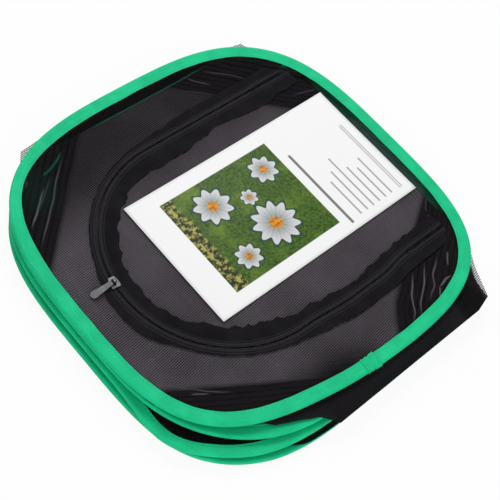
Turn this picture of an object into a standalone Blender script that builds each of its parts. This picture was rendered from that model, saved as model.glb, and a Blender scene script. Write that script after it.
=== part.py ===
"""Insect cage of netting on four sprung hoops, folded flat into a stack.

Panel 1 is on top and holds the zipped door, panel 2 and panel 3 lie under it, and panel 4 is on
the floor. Opened, panel 4 is the floor, panel 3 and panel 1 are side walls and panel 2 is the roof.
Metres, +Z up, +X from the left edges to the right edges. The origin is at the bottom centre.
"""

import math

import bmesh
import bpy
from mathutils import Matrix, Vector

COLLECTION = "insect_cage"
CUTTERS = "insect_cage_cutters"

# Hoops
HOOP_WIDTH = 0.3016
HOOP_DEPTH = 0.2904
OUTLINE_POINTS = 48
# Right back, left back, left front and right front corner, as superellipse powers
SQUARENESS = {
    1: (3.1, 3.1, 3.1, 3.7),
    2: (3.3, 3.3, 3.45, 3.4),
    3: (3.3, 3.3, 3.5, 3.4),
    4: (3.3, 3.3, 3.6, 3.4),
}
# How far each loose hoop lies from the middle of the stack, as shares of its width and depth
LAY_SHARES = {
    1: (-0.0060, -0.0024),
    2: (-0.0033, -0.0138),
    3: (-0.0116, -0.0241),
    4: (-0.0199, -0.0358),
}
# Beside its left front corner each hoop is drawn in by a share of its reach, or pushed out where
# the share is negative. The angles are the middle and the spread of that place, in degrees.
DRAW_IN_SHARES = {1: 0.052, 2: 0.037, 3: -0.040, 4: 0.014}
DRAW_IN_ANGLES = {1: 240.0, 2: 223.0, 3: 210.0, 4: 226.0}
DRAW_IN_SPREADS = {1: 24.0, 2: 17.0, 3: 9.5, 4: 12.0}

# Binding tape, a folded channel that is open towards the netting
BINDING_WIDTH = 0.0103
BINDING_THICKNESS = 0.0038
BINDING_WALL = 0.0004
BINDING_EDGE_ROUND = 0.0007
BINDING_FLAT_WIDTH = 0.0036
BINDING_LIP_THICKNESS = 0.0026
BINDING_END_LENGTH = 0.0113
BINDING_END_WALL = 0.0005
BINDING_END_PLACE_SHARE = -0.034

# Hoop wire and the crimp ferrule over its joint
WIRE_RADIUS = 0.00065
WIRE_JOINT_GAP = 0.0008
FERRULE_LENGTH = 0.018
FERRULE_WALL = 0.0003
FERRULE_SIDES = 12
JOINT_ANGLES = {1: 90.0, 2: -90.0, 3: 90.0, 4: -90.0}

# Layers of the stack
CLEARANCE = 0.0003
NETTING_THICKNESS = 0.0005
CLOTH_THICKNESS = 0.0005
OUTER_FACE_GAP = 0.0008
NETTING_INSET = 0.0025

# Edge seams and fold axes
SEAM_LENGTH = 0.100
SEAM_WALL = 0.0005
SEAM_WIDTH = 0.0026
LEFT_AXIS_MARGIN = 0.0005

# End cloths
FRONT_FOLD_PLACE = 0.1568
FRONT_FOLD_LEFT = -0.0507
FRONT_FOLD_RIGHT = 0.1091
FRONT_FOLD_SLANT = 0.0134
BACK_EDGE_INSET = 0.0015
BACK_SQUARENESS = (4.2, 4.2, 3.5, 4.2)
BACK_CLOTH_INSET = 0.0090
# Corners of the front cloth, as shares of half a hoop's width and depth, from the fold's right end
FRONT_CLOTH_SHARES = (
    (0.845, -0.832),
    (0.925, -0.48),
    (0.935, -0.07),
    (0.925, 0.40),
    (0.815, 0.776),
    (0.763, 0.915),
    (0.40, 0.983),
    (-0.346, 0.993),
    (-0.631, 0.965),
    (-0.685, 0.893),
    (-0.836, 0.659),
    (-0.925, 0.315),
    (-0.925, -0.06),
    (-0.925, -0.41),
    (-0.836, -0.638),
    (-0.618, -0.822),
)

# Zip: a half circle at the left, with two straight arms to the right edge
TRACK_RADIUS = 0.0895
TRACK_CENTRE_Y = -0.001
TAPE_TO_BINDING = 0.0178
ARC_POINTS = 24
COIL_END_TO_HINGE = 0.0499
TAPE_WIDTH = 0.0120
TAPE_THICKNESS = 0.0004
COIL_RADIUS = 0.0006
COIL_HALF_GAP = 0.0006
COIL_RISE = 0.00045
SLOT_HALF_WIDTH = 0.0050
STOP_LENGTH = 0.0030
STOP_WIDTH = 0.0022
STOP_HEIGHT = 0.0014

# Slider and pull tab
SLIDER_ANGLE = 171.3
SLIDER_LENGTH = 0.0090
SLIDER_WIDTH = 0.0076
SLIDER_LOWER_PLATE = 0.0005
SLIDER_UPPER_PLATE = 0.0007
SLIDER_CORNER = 0.0012
POST_WIDTH = 0.0006
POST_LENGTH = 0.0015
BAIL_RADIUS = 0.00065
BAIL_SPAN = 0.0056
BAIL_BEND = 0.0012
EYE_WALL = 0.0006
EYE_LENGTH = 0.0026
TAB_LENGTH = 0.0205
TAB_NECK_WIDTH = 0.0036
TAB_TIP_WIDTH = 0.0058
TAB_THICKNESS = 0.0010
TAB_DROP_ANGLE = 8.5
TAB_TIP_POINTS = 8
TAB_DIMPLE_RADIUS = 0.0014
TAB_DIMPLE_DEPTH = 0.0003
ROUND_SIDES = 16

# Door: its right edge folds, and its two right corners are cut back to pass the binding
HINGE_LINE_GAP = 0.0006
HINGE_TO_BINDING = 0.0065
HINGE_END_TO_TRACK = 0.0245
ARM_END_TO_HINGE = 0.0082
DOOR_CORNER_SLANT = 0.0075

# Leaflet
LEAFLET_DEPTH = 0.1105
LEAFLET_THICKNESS = 0.0004
LEAFLET_MIDDLE_Y = 0.00095
LEAFLET_CORNER_GAP = 0.0067
LEAFLET_TO_HINGE = 0.0008

# Cutters run past what they cut by this
OVERRUN = 0.001
MERGE = 0.00001
SMOOTH_ANGLE = math.radians(35)

PANELS = (1, 2, 3, 4)


def levels():
    """Height of the underside of every layer, from the floor up."""
    step = CLEARANCE
    low = {"binding_4": 0.0}
    low["netting_4"] = BINDING_THICKNESS + step
    low["back_cloth"] = low["netting_4"] + NETTING_THICKNESS + step
    low["netting_3"] = low["back_cloth"] + CLOTH_THICKNESS + step
    low["binding_3"] = low["netting_3"] + NETTING_THICKNESS + step
    low["binding_2"] = low["binding_3"] + BINDING_THICKNESS + OUTER_FACE_GAP
    low["netting_2"] = low["binding_2"] + BINDING_THICKNESS + step
    low["front_cloth"] = low["netting_2"] + NETTING_THICKNESS + step
    low["netting_1"] = low["front_cloth"] + CLOTH_THICKNESS + step
    low["binding_1"] = low["netting_1"] + NETTING_THICKNESS + step
    low["tape"] = low["netting_1"] + NETTING_THICKNESS + step
    return low


LOW = levels()
HALF_WIDTH = HOOP_WIDTH / 2
HALF_DEPTH = HOOP_DEPTH / 2
CENTRE = {n: Vector((LAY_SHARES[n][0] * HOOP_WIDTH, LAY_SHARES[n][1] * HOOP_DEPTH)) for n in PANELS}
LEFT = {n: CENTRE[n].x - HALF_WIDTH for n in PANELS}
RIGHT = {n: CENTRE[n].x + HALF_WIDTH for n in PANELS}

# Right edge seams: the inner one wraps panels 2 and 3, the outer one wraps the whole fold
INNER_WALL = max(RIGHT[2], RIGHT[3]) + CLEARANCE
OUTER_WALL = INNER_WALL + SEAM_WALL + CLEARANCE

# Fold axes. The right one stands clear of the panels, so that they meet at a right angle.
RIGHT_AXIS_MARGIN = (
    OUTER_FACE_GAP / 2 + BINDING_THICKNESS + CLEARANCE + NETTING_THICKNESS + CLEARANCE
)
AXIS_3_4 = Vector((min(LEFT[3], LEFT[4]) - LEFT_AXIS_MARGIN, 0, (BINDING_THICKNESS + LOW["binding_3"]) / 2))
AXIS_2_3 = Vector((max(RIGHT[2], RIGHT[3]) + RIGHT_AXIS_MARGIN, 0, LOW["binding_2"] - OUTER_FACE_GAP / 2))
AXIS_1_2 = Vector(
    (
        min(LEFT[1], LEFT[2]) - LEFT_AXIS_MARGIN,
        0,
        (LOW["binding_2"] + BINDING_THICKNESS + LOW["binding_1"]) / 2,
    )
)

# The stack's own box, which puts the origin under its middle
LOW_X = min(LEFT.values())
HIGH_X = OUTER_WALL + SEAM_WALL
LOW_Y = -FRONT_FOLD_PLACE
HIGH_Y = CENTRE[1].y + HALF_DEPTH
ORIGIN = Vector(((LOW_X + HIGH_X) / 2, (LOW_Y + HIGH_Y) / 2, 0))


def axis_front():
    return Vector((0, -FRONT_FOLD_PLACE, LOW["front_cloth"] - CLEARANCE / 2))


def back_edge():
    return CENTRE[4].y + HALF_DEPTH - BACK_EDGE_INSET


def axis_back():
    return Vector((0, back_edge() + CLEARANCE, LOW["back_cloth"] - CLEARANCE / 2))


def hinge_line():
    return RIGHT[1] - BINDING_WIDTH - HINGE_TO_BINDING


def arm_end():
    return hinge_line() - ARM_END_TO_HINGE


def coil_end():
    return hinge_line() - COIL_END_TO_HINGE


def axis_door():
    height = LOW["netting_1"] + NETTING_THICKNESS / 2
    return Vector((hinge_line(), 0, height))


def track_centre():
    left = LEFT[1] + BINDING_WIDTH + TAPE_TO_BINDING
    return Vector((left + TAPE_WIDTH + TRACK_RADIUS, TRACK_CENTRE_Y, 0))


def leaflet_left():
    """The leaflet's left corners stay inside the inner zip tape."""
    reach = LEAFLET_DEPTH / 2 + abs(LEAFLET_MIDDLE_Y - TRACK_CENTRE_Y)
    inner = TRACK_RADIUS - TAPE_WIDTH
    return track_centre().x - math.sqrt(inner**2 - reach**2) + LEAFLET_CORNER_GAP


def coil_height():
    return LOW["tape"] + TAPE_THICKNESS / 2 + COIL_RISE


def upper_plate_low():
    return coil_height() + COIL_RADIUS + CLEARANCE


def bail_height():
    eye_radius = BAIL_RADIUS + CLEARANCE + EYE_WALL
    return upper_plate_low() + SLIDER_UPPER_PLATE + CLEARANCE + eye_radius


def slider_place():
    angle = math.radians(SLIDER_ANGLE)
    out = Vector((math.cos(angle), math.sin(angle), 0))
    return track_centre() + out * TRACK_RADIUS


# Scene and collections


def clear_scene():
    for obj in list(bpy.data.objects):
        bpy.data.objects.remove(obj, do_unlink=True)


def new_collection(name):
    found = bpy.data.collections.new(name)
    bpy.context.scene.collection.children.link(found)
    return found


def link(obj, collection_name=COLLECTION):
    bpy.data.collections[collection_name].objects.link(obj)
    return obj


def empty(name, place, parent=None):
    """An empty that carries one moving body, on that body's joint axis."""
    obj = link(bpy.data.objects.new(name, None))
    obj["place"] = list(place)
    obj.parent = parent
    base = Vector(parent["place"]) if parent else ORIGIN
    obj.location = place - base
    return obj


def put(obj, body, place):
    """Places a piece, given in the stack's own coordinates, under the empty of its body."""
    obj.parent = body
    obj.location = Vector(place) - Vector(body["place"])
    return obj


def paint(obj, colour, roughness, metallic=0.0):
    material = bpy.data.materials.new(obj.name)
    material.use_nodes = True
    shader = material.node_tree.nodes["Principled BSDF"]
    shader.inputs["Base Color"].default_value = (*colour, 1)
    shader.inputs["Roughness"].default_value = roughness
    shader.inputs["Metallic"].default_value = metallic
    obj.data.materials.append(material)
    return obj


def smooth(obj):
    obj.data.shade_smooth()
    obj.data.set_sharp_from_angle(angle=SMOOTH_ANGLE)
    return obj


# Outlines


def outer_point(panel, angle, powers=None):
    """A point on a hoop's outer edge, from the hoop's centre, at an angle in radians."""
    corners = powers or SQUARENESS[panel]
    turn = angle % math.tau
    power = corners[min(int(turn / (math.pi / 2)), len(corners) - 1)]
    across = abs(math.cos(turn)) / HALF_WIDTH
    along = abs(math.sin(turn)) / HALF_DEPTH
    reach = (across**power + along**power) ** (-1 / power)
    away = (math.degrees(turn) - DRAW_IN_ANGLES[panel]) / DRAW_IN_SPREADS[panel]
    reach *= 1 - DRAW_IN_SHARES[panel] * math.exp(-away * away)
    return Vector((math.cos(turn), math.sin(turn))) * reach


def inset_point(panel, angle, inset, powers=None):
    """The same point moved inward, square to the edge."""
    step = math.tau / OUTLINE_POINTS / 4
    before = outer_point(panel, angle - step, powers)
    after = outer_point(panel, angle + step, powers)
    tangent = (after - before).normalized()
    inward = Vector((-tangent.y, tangent.x))
    return outer_point(panel, angle, powers) + inward * inset


def hoop_outline(panel, inset, powers=None):
    turns = [math.tau * i / OUTLINE_POINTS for i in range(OUTLINE_POINTS)]
    return [inset_point(panel, turn, inset, powers) for turn in turns]


def inner_edge(along):
    """Where binding 1's inner edge lies at the right, at a place along Y."""
    outline = [p + CENTRE[1] for p in hoop_outline(1, BINDING_WIDTH + CLEARANCE * 2)]
    for here, after in zip(outline, outline[1:] + outline[:1]):
        if here.x > 0 and (here.y - along) * (after.y - along) <= 0:
            share = (along - here.y) / (after.y - here.y)
            return here.x + (after.x - here.x) * share
    return HALF_WIDTH - BINDING_WIDTH


def track_line(offset, upper_end, lower_end):
    """The zip's line at an offset outward from its middle: upper arm, half circle, lower arm."""
    radius = TRACK_RADIUS + offset
    middle = track_centre().x
    line = [Vector((upper_end - middle, radius))]
    for i in range(ARC_POINTS + 1):
        angle = math.pi / 2 + math.pi * i / ARC_POINTS
        line.append(Vector((math.cos(angle), math.sin(angle))) * radius)
    line.append(Vector((lower_end - middle, -radius)))
    return line


def outer_track_line(offset):
    """The same line on the outer side, where both arms run to the binding."""
    upper = inner_edge(TRACK_CENTRE_Y + TRACK_RADIUS + offset)
    lower = inner_edge(TRACK_CENTRE_Y - TRACK_RADIUS - offset)
    return track_line(offset, upper, lower)


def door_side(offset, gap):
    """The door's edge at an offset from the track, with its right side moved out by a gap."""
    arm = arm_end() + gap
    line = track_line(offset, arm, arm)
    half = TRACK_RADIUS - HINGE_END_TO_TRACK + gap
    corner = [
        Vector((arm, half + DOOR_CORNER_SLANT)),
        Vector((hinge_line() + gap, half)),
    ]
    lower = [Vector((p.x, -p.y)) for p in corner]
    return line + [p - track_centre().to_2d() for p in lower + list(reversed(corner))]


# Pieces made of curves


def new_curve(name, dimensions="2D"):
    curve = bpy.data.curves.new(name, "CURVE")
    curve.dimensions = dimensions
    return curve


def add_line(curve, points, closed=True):
    line = curve.splines.new("POLY")
    line.points.add(len(points) - 1)
    for knot, point in zip(line.points, points):
        height = point.z if len(point) > 2 else 0
        knot.co = (point.x, point.y, height, 1)
    line.use_cyclic_u = closed


def flat_piece(name, outlines, thickness):
    """A flat sheet: the first outline is its edge and the others are holes. Its middle is at zero."""
    curve = new_curve(name)
    curve.fill_mode = "BOTH"
    curve.extrude = thickness / 2
    for outline in outlines:
        add_line(curve, outline)
    return link(bpy.data.objects.new(name, curve))


def channel_piece(name, outline, length):
    """An outline in the X-Z plane, drawn out along Y."""
    obj = flat_piece(name, [outline], length)
    obj.rotation_euler = (math.pi / 2, 0, 0)
    return obj


def tube_piece(name, points, radius, resolution=1):
    curve = new_curve(name, "3D")
    curve.bevel_depth = radius
    curve.bevel_resolution = resolution
    curve.use_fill_caps = True
    curve.twist_mode = "MINIMUM"
    add_line(curve, points, False)
    return link(bpy.data.objects.new(name, curve))


def as_mesh(obj):
    """Turns a curve object into a welded mesh object of the same name, in the same place."""
    bpy.context.view_layer.update()
    graph = bpy.context.evaluated_depsgraph_get()
    mesh = bpy.data.meshes.new_from_object(obj.evaluated_get(graph))
    bm = bmesh.new()
    bm.from_mesh(mesh)
    bmesh.ops.remove_doubles(bm, verts=bm.verts, dist=MERGE)
    bmesh.ops.recalc_face_normals(bm, faces=bm.faces)
    bm.to_mesh(mesh)
    bm.free()
    name = obj.name
    matrix = obj.matrix_world.copy()
    bpy.data.objects.remove(obj, do_unlink=True)
    made = link(bpy.data.objects.new(name, mesh))
    made.matrix_world = matrix
    return made


def box_mesh(name, size, corner=0.0):
    """A box centred on its origin, with its upright edges rounded."""
    bm = bmesh.new()
    bmesh.ops.create_cube(bm, size=1)
    bmesh.ops.scale(bm, vec=size, verts=bm.verts)
    if corner > 0:
        upright = [e for e in bm.edges if abs(e.verts[0].co.z - e.verts[1].co.z) > size.z / 2]
        bmesh.ops.bevel(bm, geom=upright, offset=corner, segments=3, profile=0.5, affect="EDGES")
    mesh = bpy.data.meshes.new(name)
    bm.to_mesh(mesh)
    bm.free()
    return link(bpy.data.objects.new(name, mesh))


def as_cutter(obj):
    bpy.data.collections[COLLECTION].objects.unlink(obj)
    link(obj, CUTTERS)
    obj.hide_render = True
    obj.display_type = "WIRE"
    return obj


def join(obj, other, operation="UNION"):
    modifier = obj.modifiers.new(other.name, "BOOLEAN")
    modifier.operation = operation
    modifier.solver = "EXACT"
    modifier.object = as_cutter(other)
    return obj


# Colours, from the photograph

GREEN = (0.016, 0.584, 0.298)
STEEL = (0.45, 0.46, 0.47)
NETTING = (0.062, 0.060, 0.070)
CLOTH = (0.020, 0.020, 0.024)
TAPE = (0.014, 0.013, 0.017)
GUNMETAL = (0.18, 0.18, 0.19)
PAPER = (0.92, 0.92, 0.92)


# Hoops and panels


def binding_profile():
    """Cross-section of the tape, a channel with its mouth towards the netting at -X."""
    half = BINDING_THICKNESS / 2
    lip = BINDING_LIP_THICKNESS / 2
    outer = BINDING_WIDTH / 2
    shoulder = outer - BINDING_FLAT_WIDTH
    top = [
        Vector((outer, half - BINDING_EDGE_ROUND)),
        Vector((outer - BINDING_EDGE_ROUND, half)),
        Vector((shoulder, half)),
        Vector((-outer, lip)),
        Vector((-outer, lip - BINDING_WALL)),
        Vector((shoulder, half - BINDING_WALL)),
        Vector((outer - BINDING_WALL - BINDING_EDGE_ROUND, half - BINDING_WALL)),
        Vector((outer - BINDING_WALL, half - BINDING_WALL - BINDING_EDGE_ROUND)),
    ]
    return top + [Vector((p.x, -p.y)) for p in reversed(top)]


def make_binding(panel, body):
    name = f"binding_{panel}"
    profile = new_curve(name + "_profile")
    add_line(profile, binding_profile())
    shape = as_cutter(link(bpy.data.objects.new(name + "_profile", profile)))
    path = new_curve(name, "3D")
    path.twist_mode = "Z_UP"
    path.bevel_mode = "OBJECT"
    path.bevel_object = shape
    middle = [Vector((*p, 0)) for p in hoop_outline(panel, BINDING_WIDTH / 2)]
    add_line(path, middle)
    obj = as_mesh(link(bpy.data.objects.new(name, path)))
    height = LOW[name] + BINDING_THICKNESS / 2
    put(obj, body, (*CENTRE[panel], height))
    return paint(smooth(obj), GREEN, 0.75)


def wire_inset():
    return BINDING_WALL + BINDING_EDGE_ROUND + CLEARANCE + WIRE_RADIUS


def make_wire(panel, body):
    """The sprung wire, open at the joint where the ferrule holds its two ends."""
    joint = math.radians(JOINT_ANGLES[panel])
    inset = wire_inset()
    opening = WIRE_JOINT_GAP / HOOP_WIDTH
    turns = [joint + opening]
    for i in range(1, OUTLINE_POINTS):
        turns.append(joint + math.tau * i / OUTLINE_POINTS)
    turns.append(joint + math.tau - opening)
    points = [Vector((*inset_point(panel, turn, inset), 0)) for turn in turns]
    obj = tube_piece(f"hoop_wire_{panel}", points, WIRE_RADIUS)
    height = LOW[f"binding_{panel}"] + BINDING_THICKNESS / 2
    put(obj, body, (*CENTRE[panel], height))
    return paint(obj, STEEL, 0.35, 1.0)


def make_ferrule(panel, body):
    """A turned sleeve with the wire's two ends in its bore."""
    bore = WIRE_RADIUS + CLEARANCE
    outside = bore + FERRULE_WALL
    half = FERRULE_LENGTH / 2
    corners = ((outside, half), (outside, -half), (bore, -half), (bore, half))
    bm = bmesh.new()
    ring = [bm.verts.new((radius, 0, height)) for radius, height in corners]
    for here, after in zip(ring, ring[1:] + ring[:1]):
        bm.edges.new((here, after))
    mesh = bpy.data.meshes.new(f"crimp_ferrule_{panel}")
    bm.to_mesh(mesh)
    bm.free()
    obj = link(bpy.data.objects.new(f"crimp_ferrule_{panel}", mesh))
    turned = obj.modifiers.new("turned", "SCREW")
    turned.steps = FERRULE_SIDES
    turned.render_steps = FERRULE_SIDES
    turned.use_merge_vertices = True
    turned.merge_threshold = MERGE
    obj.rotation_euler = (0, math.pi / 2, 0)
    at = inset_point(panel, math.radians(JOINT_ANGLES[panel]), wire_inset()) + CENTRE[panel]
    height = LOW[f"binding_{panel}"] + BINDING_THICKNESS / 2
    put(obj, body, (*at, height))
    return paint(obj, STEEL, 0.5, 1.0)


def netting_outline(panel):
    """The netting ends under the binding. Panel 2 also reaches out to the front cloth's fold."""
    outline = hoop_outline(panel, NETTING_INSET)
    if panel != 2:
        return outline
    centre = CENTRE[2]
    left = FRONT_FOLD_LEFT - centre.x
    right = FRONT_FOLD_RIGHT - centre.x
    front = -FRONT_FOLD_PLACE - centre.y
    tab = [
        Vector((left - FRONT_FOLD_SLANT, front + FRONT_FOLD_SLANT)),
        Vector((left, front)),
        Vector((right, front)),
        Vector((right + FRONT_FOLD_SLANT / 2, front + FRONT_FOLD_SLANT * 2)),
    ]
    kept = []
    for point in outline:
        beside = tab[0].x < point.x < tab[-1].x and point.y < 0
        if beside and tab[0] not in kept:
            kept.extend(tab)
        if not beside:
            kept.append(point)
    return kept


def door_hole():
    """The hole that the door and the zip's slot leave in panel 1, from the track's centre."""
    hole = door_side(SLOT_HALF_WIDTH, HINGE_LINE_GAP / 2)
    shift = track_centre().to_2d() - CENTRE[1]
    return [point + shift for point in reversed(hole)]


def make_netting(panel, body):
    name = f"netting_{panel}"
    outlines = [netting_outline(panel)]
    if panel == 1:
        outlines.append(door_hole())
    obj = as_mesh(flat_piece(name, outlines, NETTING_THICKNESS))
    put(obj, body, (*CENTRE[panel], LOW[name] + NETTING_THICKNESS / 2))
    return paint(obj, NETTING, 0.85)


def make_binding_end(body):
    """The folded end of the tape over its start: a cap on the top and outer side of binding 1."""
    step = CLEARANCE + BINDING_END_WALL
    place_x = BINDING_END_PLACE_SHARE * HALF_WIDTH
    angle = math.atan2(-HALF_DEPTH, place_x)
    edge = outer_point(1, angle)
    tangent = outer_point(1, angle + math.radians(1)) - outer_point(1, angle - math.radians(1))
    top = BINDING_THICKNESS + step
    outline = [
        Vector((-step, 0)),
        Vector((-step, top)),
        Vector((BINDING_WIDTH + step, top)),
        Vector((BINDING_WIDTH + step, top - BINDING_END_WALL)),
        Vector((-CLEARANCE, top - BINDING_END_WALL)),
        Vector((-CLEARANCE, 0)),
    ]
    obj = channel_piece("binding_end_1", outline, BINDING_END_LENGTH)
    heading = math.atan2(tangent.y, tangent.x) + math.pi / 2
    obj.rotation_euler = (math.pi / 2, 0, heading)
    put(obj, body, (*(edge + CENTRE[1]), LOW["binding_1"]))
    return paint(obj, GREEN, 0.75)


def make_panel(panel, body):
    make_wire(panel, body)
    make_ferrule(panel, body)
    make_binding(panel, body)
    make_netting(panel, body)


# Edge seams


def channel_outline(wall, low, high, low_reach, high_reach):
    """A seam wrapped round an edge: a wall at the right, and a flange inward at each end."""
    return [
        Vector((low_reach, low)),
        Vector((wall + SEAM_WALL, low)),
        Vector((wall + SEAM_WALL, high)),
        Vector((high_reach, high)),
        Vector((high_reach, high - SEAM_WALL)),
        Vector((wall, high - SEAM_WALL)),
        Vector((wall, low + SEAM_WALL)),
        Vector((low_reach, low + SEAM_WALL)),
    ]


def make_left_seam(name, upper, lower, low, body):
    """A strip between the left edges of two nettings."""
    outside = max(LEFT[upper], LEFT[lower]) + NETTING_INSET
    size = Vector((SEAM_WIDTH, SEAM_LENGTH, SEAM_WALL))
    obj = box_mesh(name, size)
    place = (outside + SEAM_WIDTH / 2, (CENTRE[upper].y + CENTRE[lower].y) / 2, low + SEAM_WALL / 2)
    put(obj, body, place)
    return paint(obj, CLOTH, 0.9)


def make_inner_seam(body):
    """Wraps the right edges of panels 2 and 3, from netting 3 up to netting 2."""
    low = LOW["back_cloth"]
    high = LOW["front_cloth"] + SEAM_WALL
    reach = (RIGHT[3] - NETTING_INSET - SEAM_WIDTH, RIGHT[2] - NETTING_INSET - SEAM_WIDTH)
    outline = channel_outline(INNER_WALL, low, high, *reach)
    obj = channel_piece("seam_2_3", outline, SEAM_LENGTH)
    put(obj, body, (0, (CENTRE[2].y + CENTRE[3].y) / 2, 0))
    return paint(obj, CLOTH, 0.9)


def make_outer_seam(body):
    """Wraps the whole right edge, from netting 4 up to netting 1."""
    low = LOW["netting_4"]
    high = LOW["netting_1"] + SEAM_WALL
    reach = (RIGHT[4] - NETTING_INSET + CLEARANCE, RIGHT[1] - NETTING_INSET + CLEARANCE)
    outline = channel_outline(OUTER_WALL, low, high, *reach)
    obj = channel_piece("seam_4_1", outline, SEAM_LENGTH)
    put(obj, body, (0, (CENTRE[1].y + CENTRE[4].y) / 2, 0))
    return paint(obj, CLOTH, 0.9)


# End cloths


def make_front_cloth(body):
    """The front end's cloth, in the fold between panels 1 and 2. Its corners stand out of the stack."""
    half = Vector((HALF_WIDTH, HALF_DEPTH))
    corners = [Vector((x * half.x, y * half.y)) + CENTRE[1] for x, y in FRONT_CLOTH_SHARES]
    fold = [
        Vector((FRONT_FOLD_LEFT - FRONT_FOLD_SLANT, FRONT_FOLD_SLANT - FRONT_FOLD_PLACE)),
        Vector((FRONT_FOLD_LEFT, -FRONT_FOLD_PLACE)),
        Vector((FRONT_FOLD_RIGHT, -FRONT_FOLD_PLACE)),
    ]
    obj = flat_piece("front_end_cloth", [fold + corners], CLOTH_THICKNESS)
    put(obj, body, (0, 0, LOW["front_cloth"] + CLOTH_THICKNESS / 2))
    return paint(obj, CLOTH, 0.9)


def make_back_cloth(body):
    """The back end's cloth, in the fold between panels 3 and 4, with a straight back edge."""
    limit = back_edge() - CENTRE[4].y
    outline = []
    for point in hoop_outline(4, BACK_CLOTH_INSET, BACK_SQUARENESS):
        if point.y > limit - BACK_CLOTH_INSET:
            share = limit / point.y
            point = Vector((point.x, point.y * share))
        outline.append(point)
    obj = flat_piece("back_end_cloth", [outline], CLOTH_THICKNESS)
    put(obj, body, (*CENTRE[4], LOW["back_cloth"] + CLOTH_THICKNESS / 2))
    return paint(obj, CLOTH, 0.9)


# Zip


def make_tape(name, side, body):
    """A tape beside its coil half. The outer one runs to the binding, the inner one with the door."""
    near = side * (COIL_HALF_GAP + COIL_RADIUS * 2 + CLEARANCE)
    far = side * TAPE_WIDTH
    if side > 0:
        outline = outer_track_line(far) + list(reversed(outer_track_line(near)))
    else:
        end = arm_end()
        outline = track_line(near, end, end) + list(reversed(track_line(far, end, end)))
    obj = flat_piece(name, [outline], TAPE_THICKNESS)
    put(obj, body, track_centre() + Vector((0, 0, LOW["tape"] + TAPE_THICKNESS / 2)))
    return paint(obj, TAPE, 0.9)


def make_coil(name, side, body):
    offset = side * (COIL_HALF_GAP + COIL_RADIUS)
    points = [Vector((*p, 0)) for p in track_line(offset, coil_end(), coil_end())]
    obj = tube_piece(name, points, COIL_RADIUS)
    put(obj, body, track_centre() + Vector((0, 0, coil_height())))
    return paint(obj, TAPE, 0.5)


def make_stop(name, side, body):
    """A crimped stop on the outer coil half, past the end of its teeth."""
    size = Vector((STOP_LENGTH, STOP_WIDTH - POST_WIDTH, STOP_HEIGHT))
    obj = box_mesh(name, size, POST_WIDTH / 2)
    offset = TRACK_RADIUS + COIL_HALF_GAP + COIL_RADIUS
    along = coil_end() + CLEARANCE + STOP_LENGTH / 2
    low = LOW["tape"] + CLEARANCE + STOP_HEIGHT / 2
    put(obj, body, (along, TRACK_CENTRE_Y + side * offset, low))
    return paint(obj, GUNMETAL, 0.4, 1.0)


def bail_line():
    """The bail: up from the upper plate, along the track and down again."""
    half = BAIL_SPAN / 2
    foot = upper_plate_low() + SLIDER_UPPER_PLATE / 2
    top = bail_height()
    side = [
        Vector((0, half, foot)),
        Vector((0, half, top - BAIL_BEND)),
        Vector((0, half - BAIL_BEND / 3, top - BAIL_BEND / 3)),
        Vector((0, half - BAIL_BEND, top)),
    ]
    return side + [Vector((p.x, -p.y, p.z)) for p in reversed(side)]


def make_slider(body):
    """Two plates joined by a post between the coil halves, with the bail on top."""
    low_size = Vector((SLIDER_WIDTH, SLIDER_LENGTH, SLIDER_LOWER_PLATE))
    low_plate = box_mesh("zip_slider", low_size, SLIDER_CORNER)
    place = slider_place()
    low = LOW["netting_1"] + CLEARANCE / 6
    middle = low + SLIDER_LOWER_PLATE / 2
    put(low_plate, body, place + Vector((0, 0, middle)))
    low_plate.rotation_euler = (0, 0, math.radians(SLIDER_ANGLE))
    high_size = Vector((SLIDER_WIDTH, SLIDER_LENGTH, SLIDER_UPPER_PLATE))
    high_plate = box_mesh("slider_upper_plate", high_size, SLIDER_CORNER)
    high_plate.location = (0, 0, upper_plate_low() + SLIDER_UPPER_PLATE / 2 - middle)
    reach = upper_plate_low() - low - SLIDER_LOWER_PLATE + SLIDER_UPPER_PLATE
    post = box_mesh("slider_post", Vector((POST_WIDTH, POST_LENGTH, reach)))
    post.location = (0, 0, (upper_plate_low() + low + SLIDER_LOWER_PLATE) / 2 - middle)
    bail = as_mesh(tube_piece("slider_bail", bail_line(), BAIL_RADIUS, resolution=2))
    bail.location = (0, 0, -middle)
    for piece in (high_plate, post, bail):
        piece.parent = low_plate
        join(low_plate, piece)
    return paint(low_plate, GUNMETAL, 0.35, 1.0)


def tab_outline():
    """The pull tab from above, from its eye at zero outward along +X to its round end."""
    neck = TAB_NECK_WIDTH / 2
    tip = TAB_TIP_WIDTH / 2
    centre = TAB_LENGTH - tip
    start = BAIL_RADIUS + CLEARANCE + EYE_WALL / 2
    side = [Vector((start, EYE_LENGTH / 2)), Vector((start * 2, neck))]
    arc = []
    for i in range(TAB_TIP_POINTS + 1):
        angle = math.pi / 2 - math.pi * i / TAB_TIP_POINTS
        arc.append(Vector((centre + tip * math.cos(angle), tip * math.sin(angle))))
    back = [Vector((p.x, -p.y)) for p in reversed(side)]
    return side + arc + back


def cylinder_mesh(name, radius, depth):
    bm = bmesh.new()
    bmesh.ops.create_cone(
        bm, cap_ends=True, segments=ROUND_SIDES, radius1=radius, radius2=radius, depth=depth
    )
    mesh = bpy.data.meshes.new(name)
    bm.to_mesh(mesh)
    bm.free()
    return link(bpy.data.objects.new(name, mesh))


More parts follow.
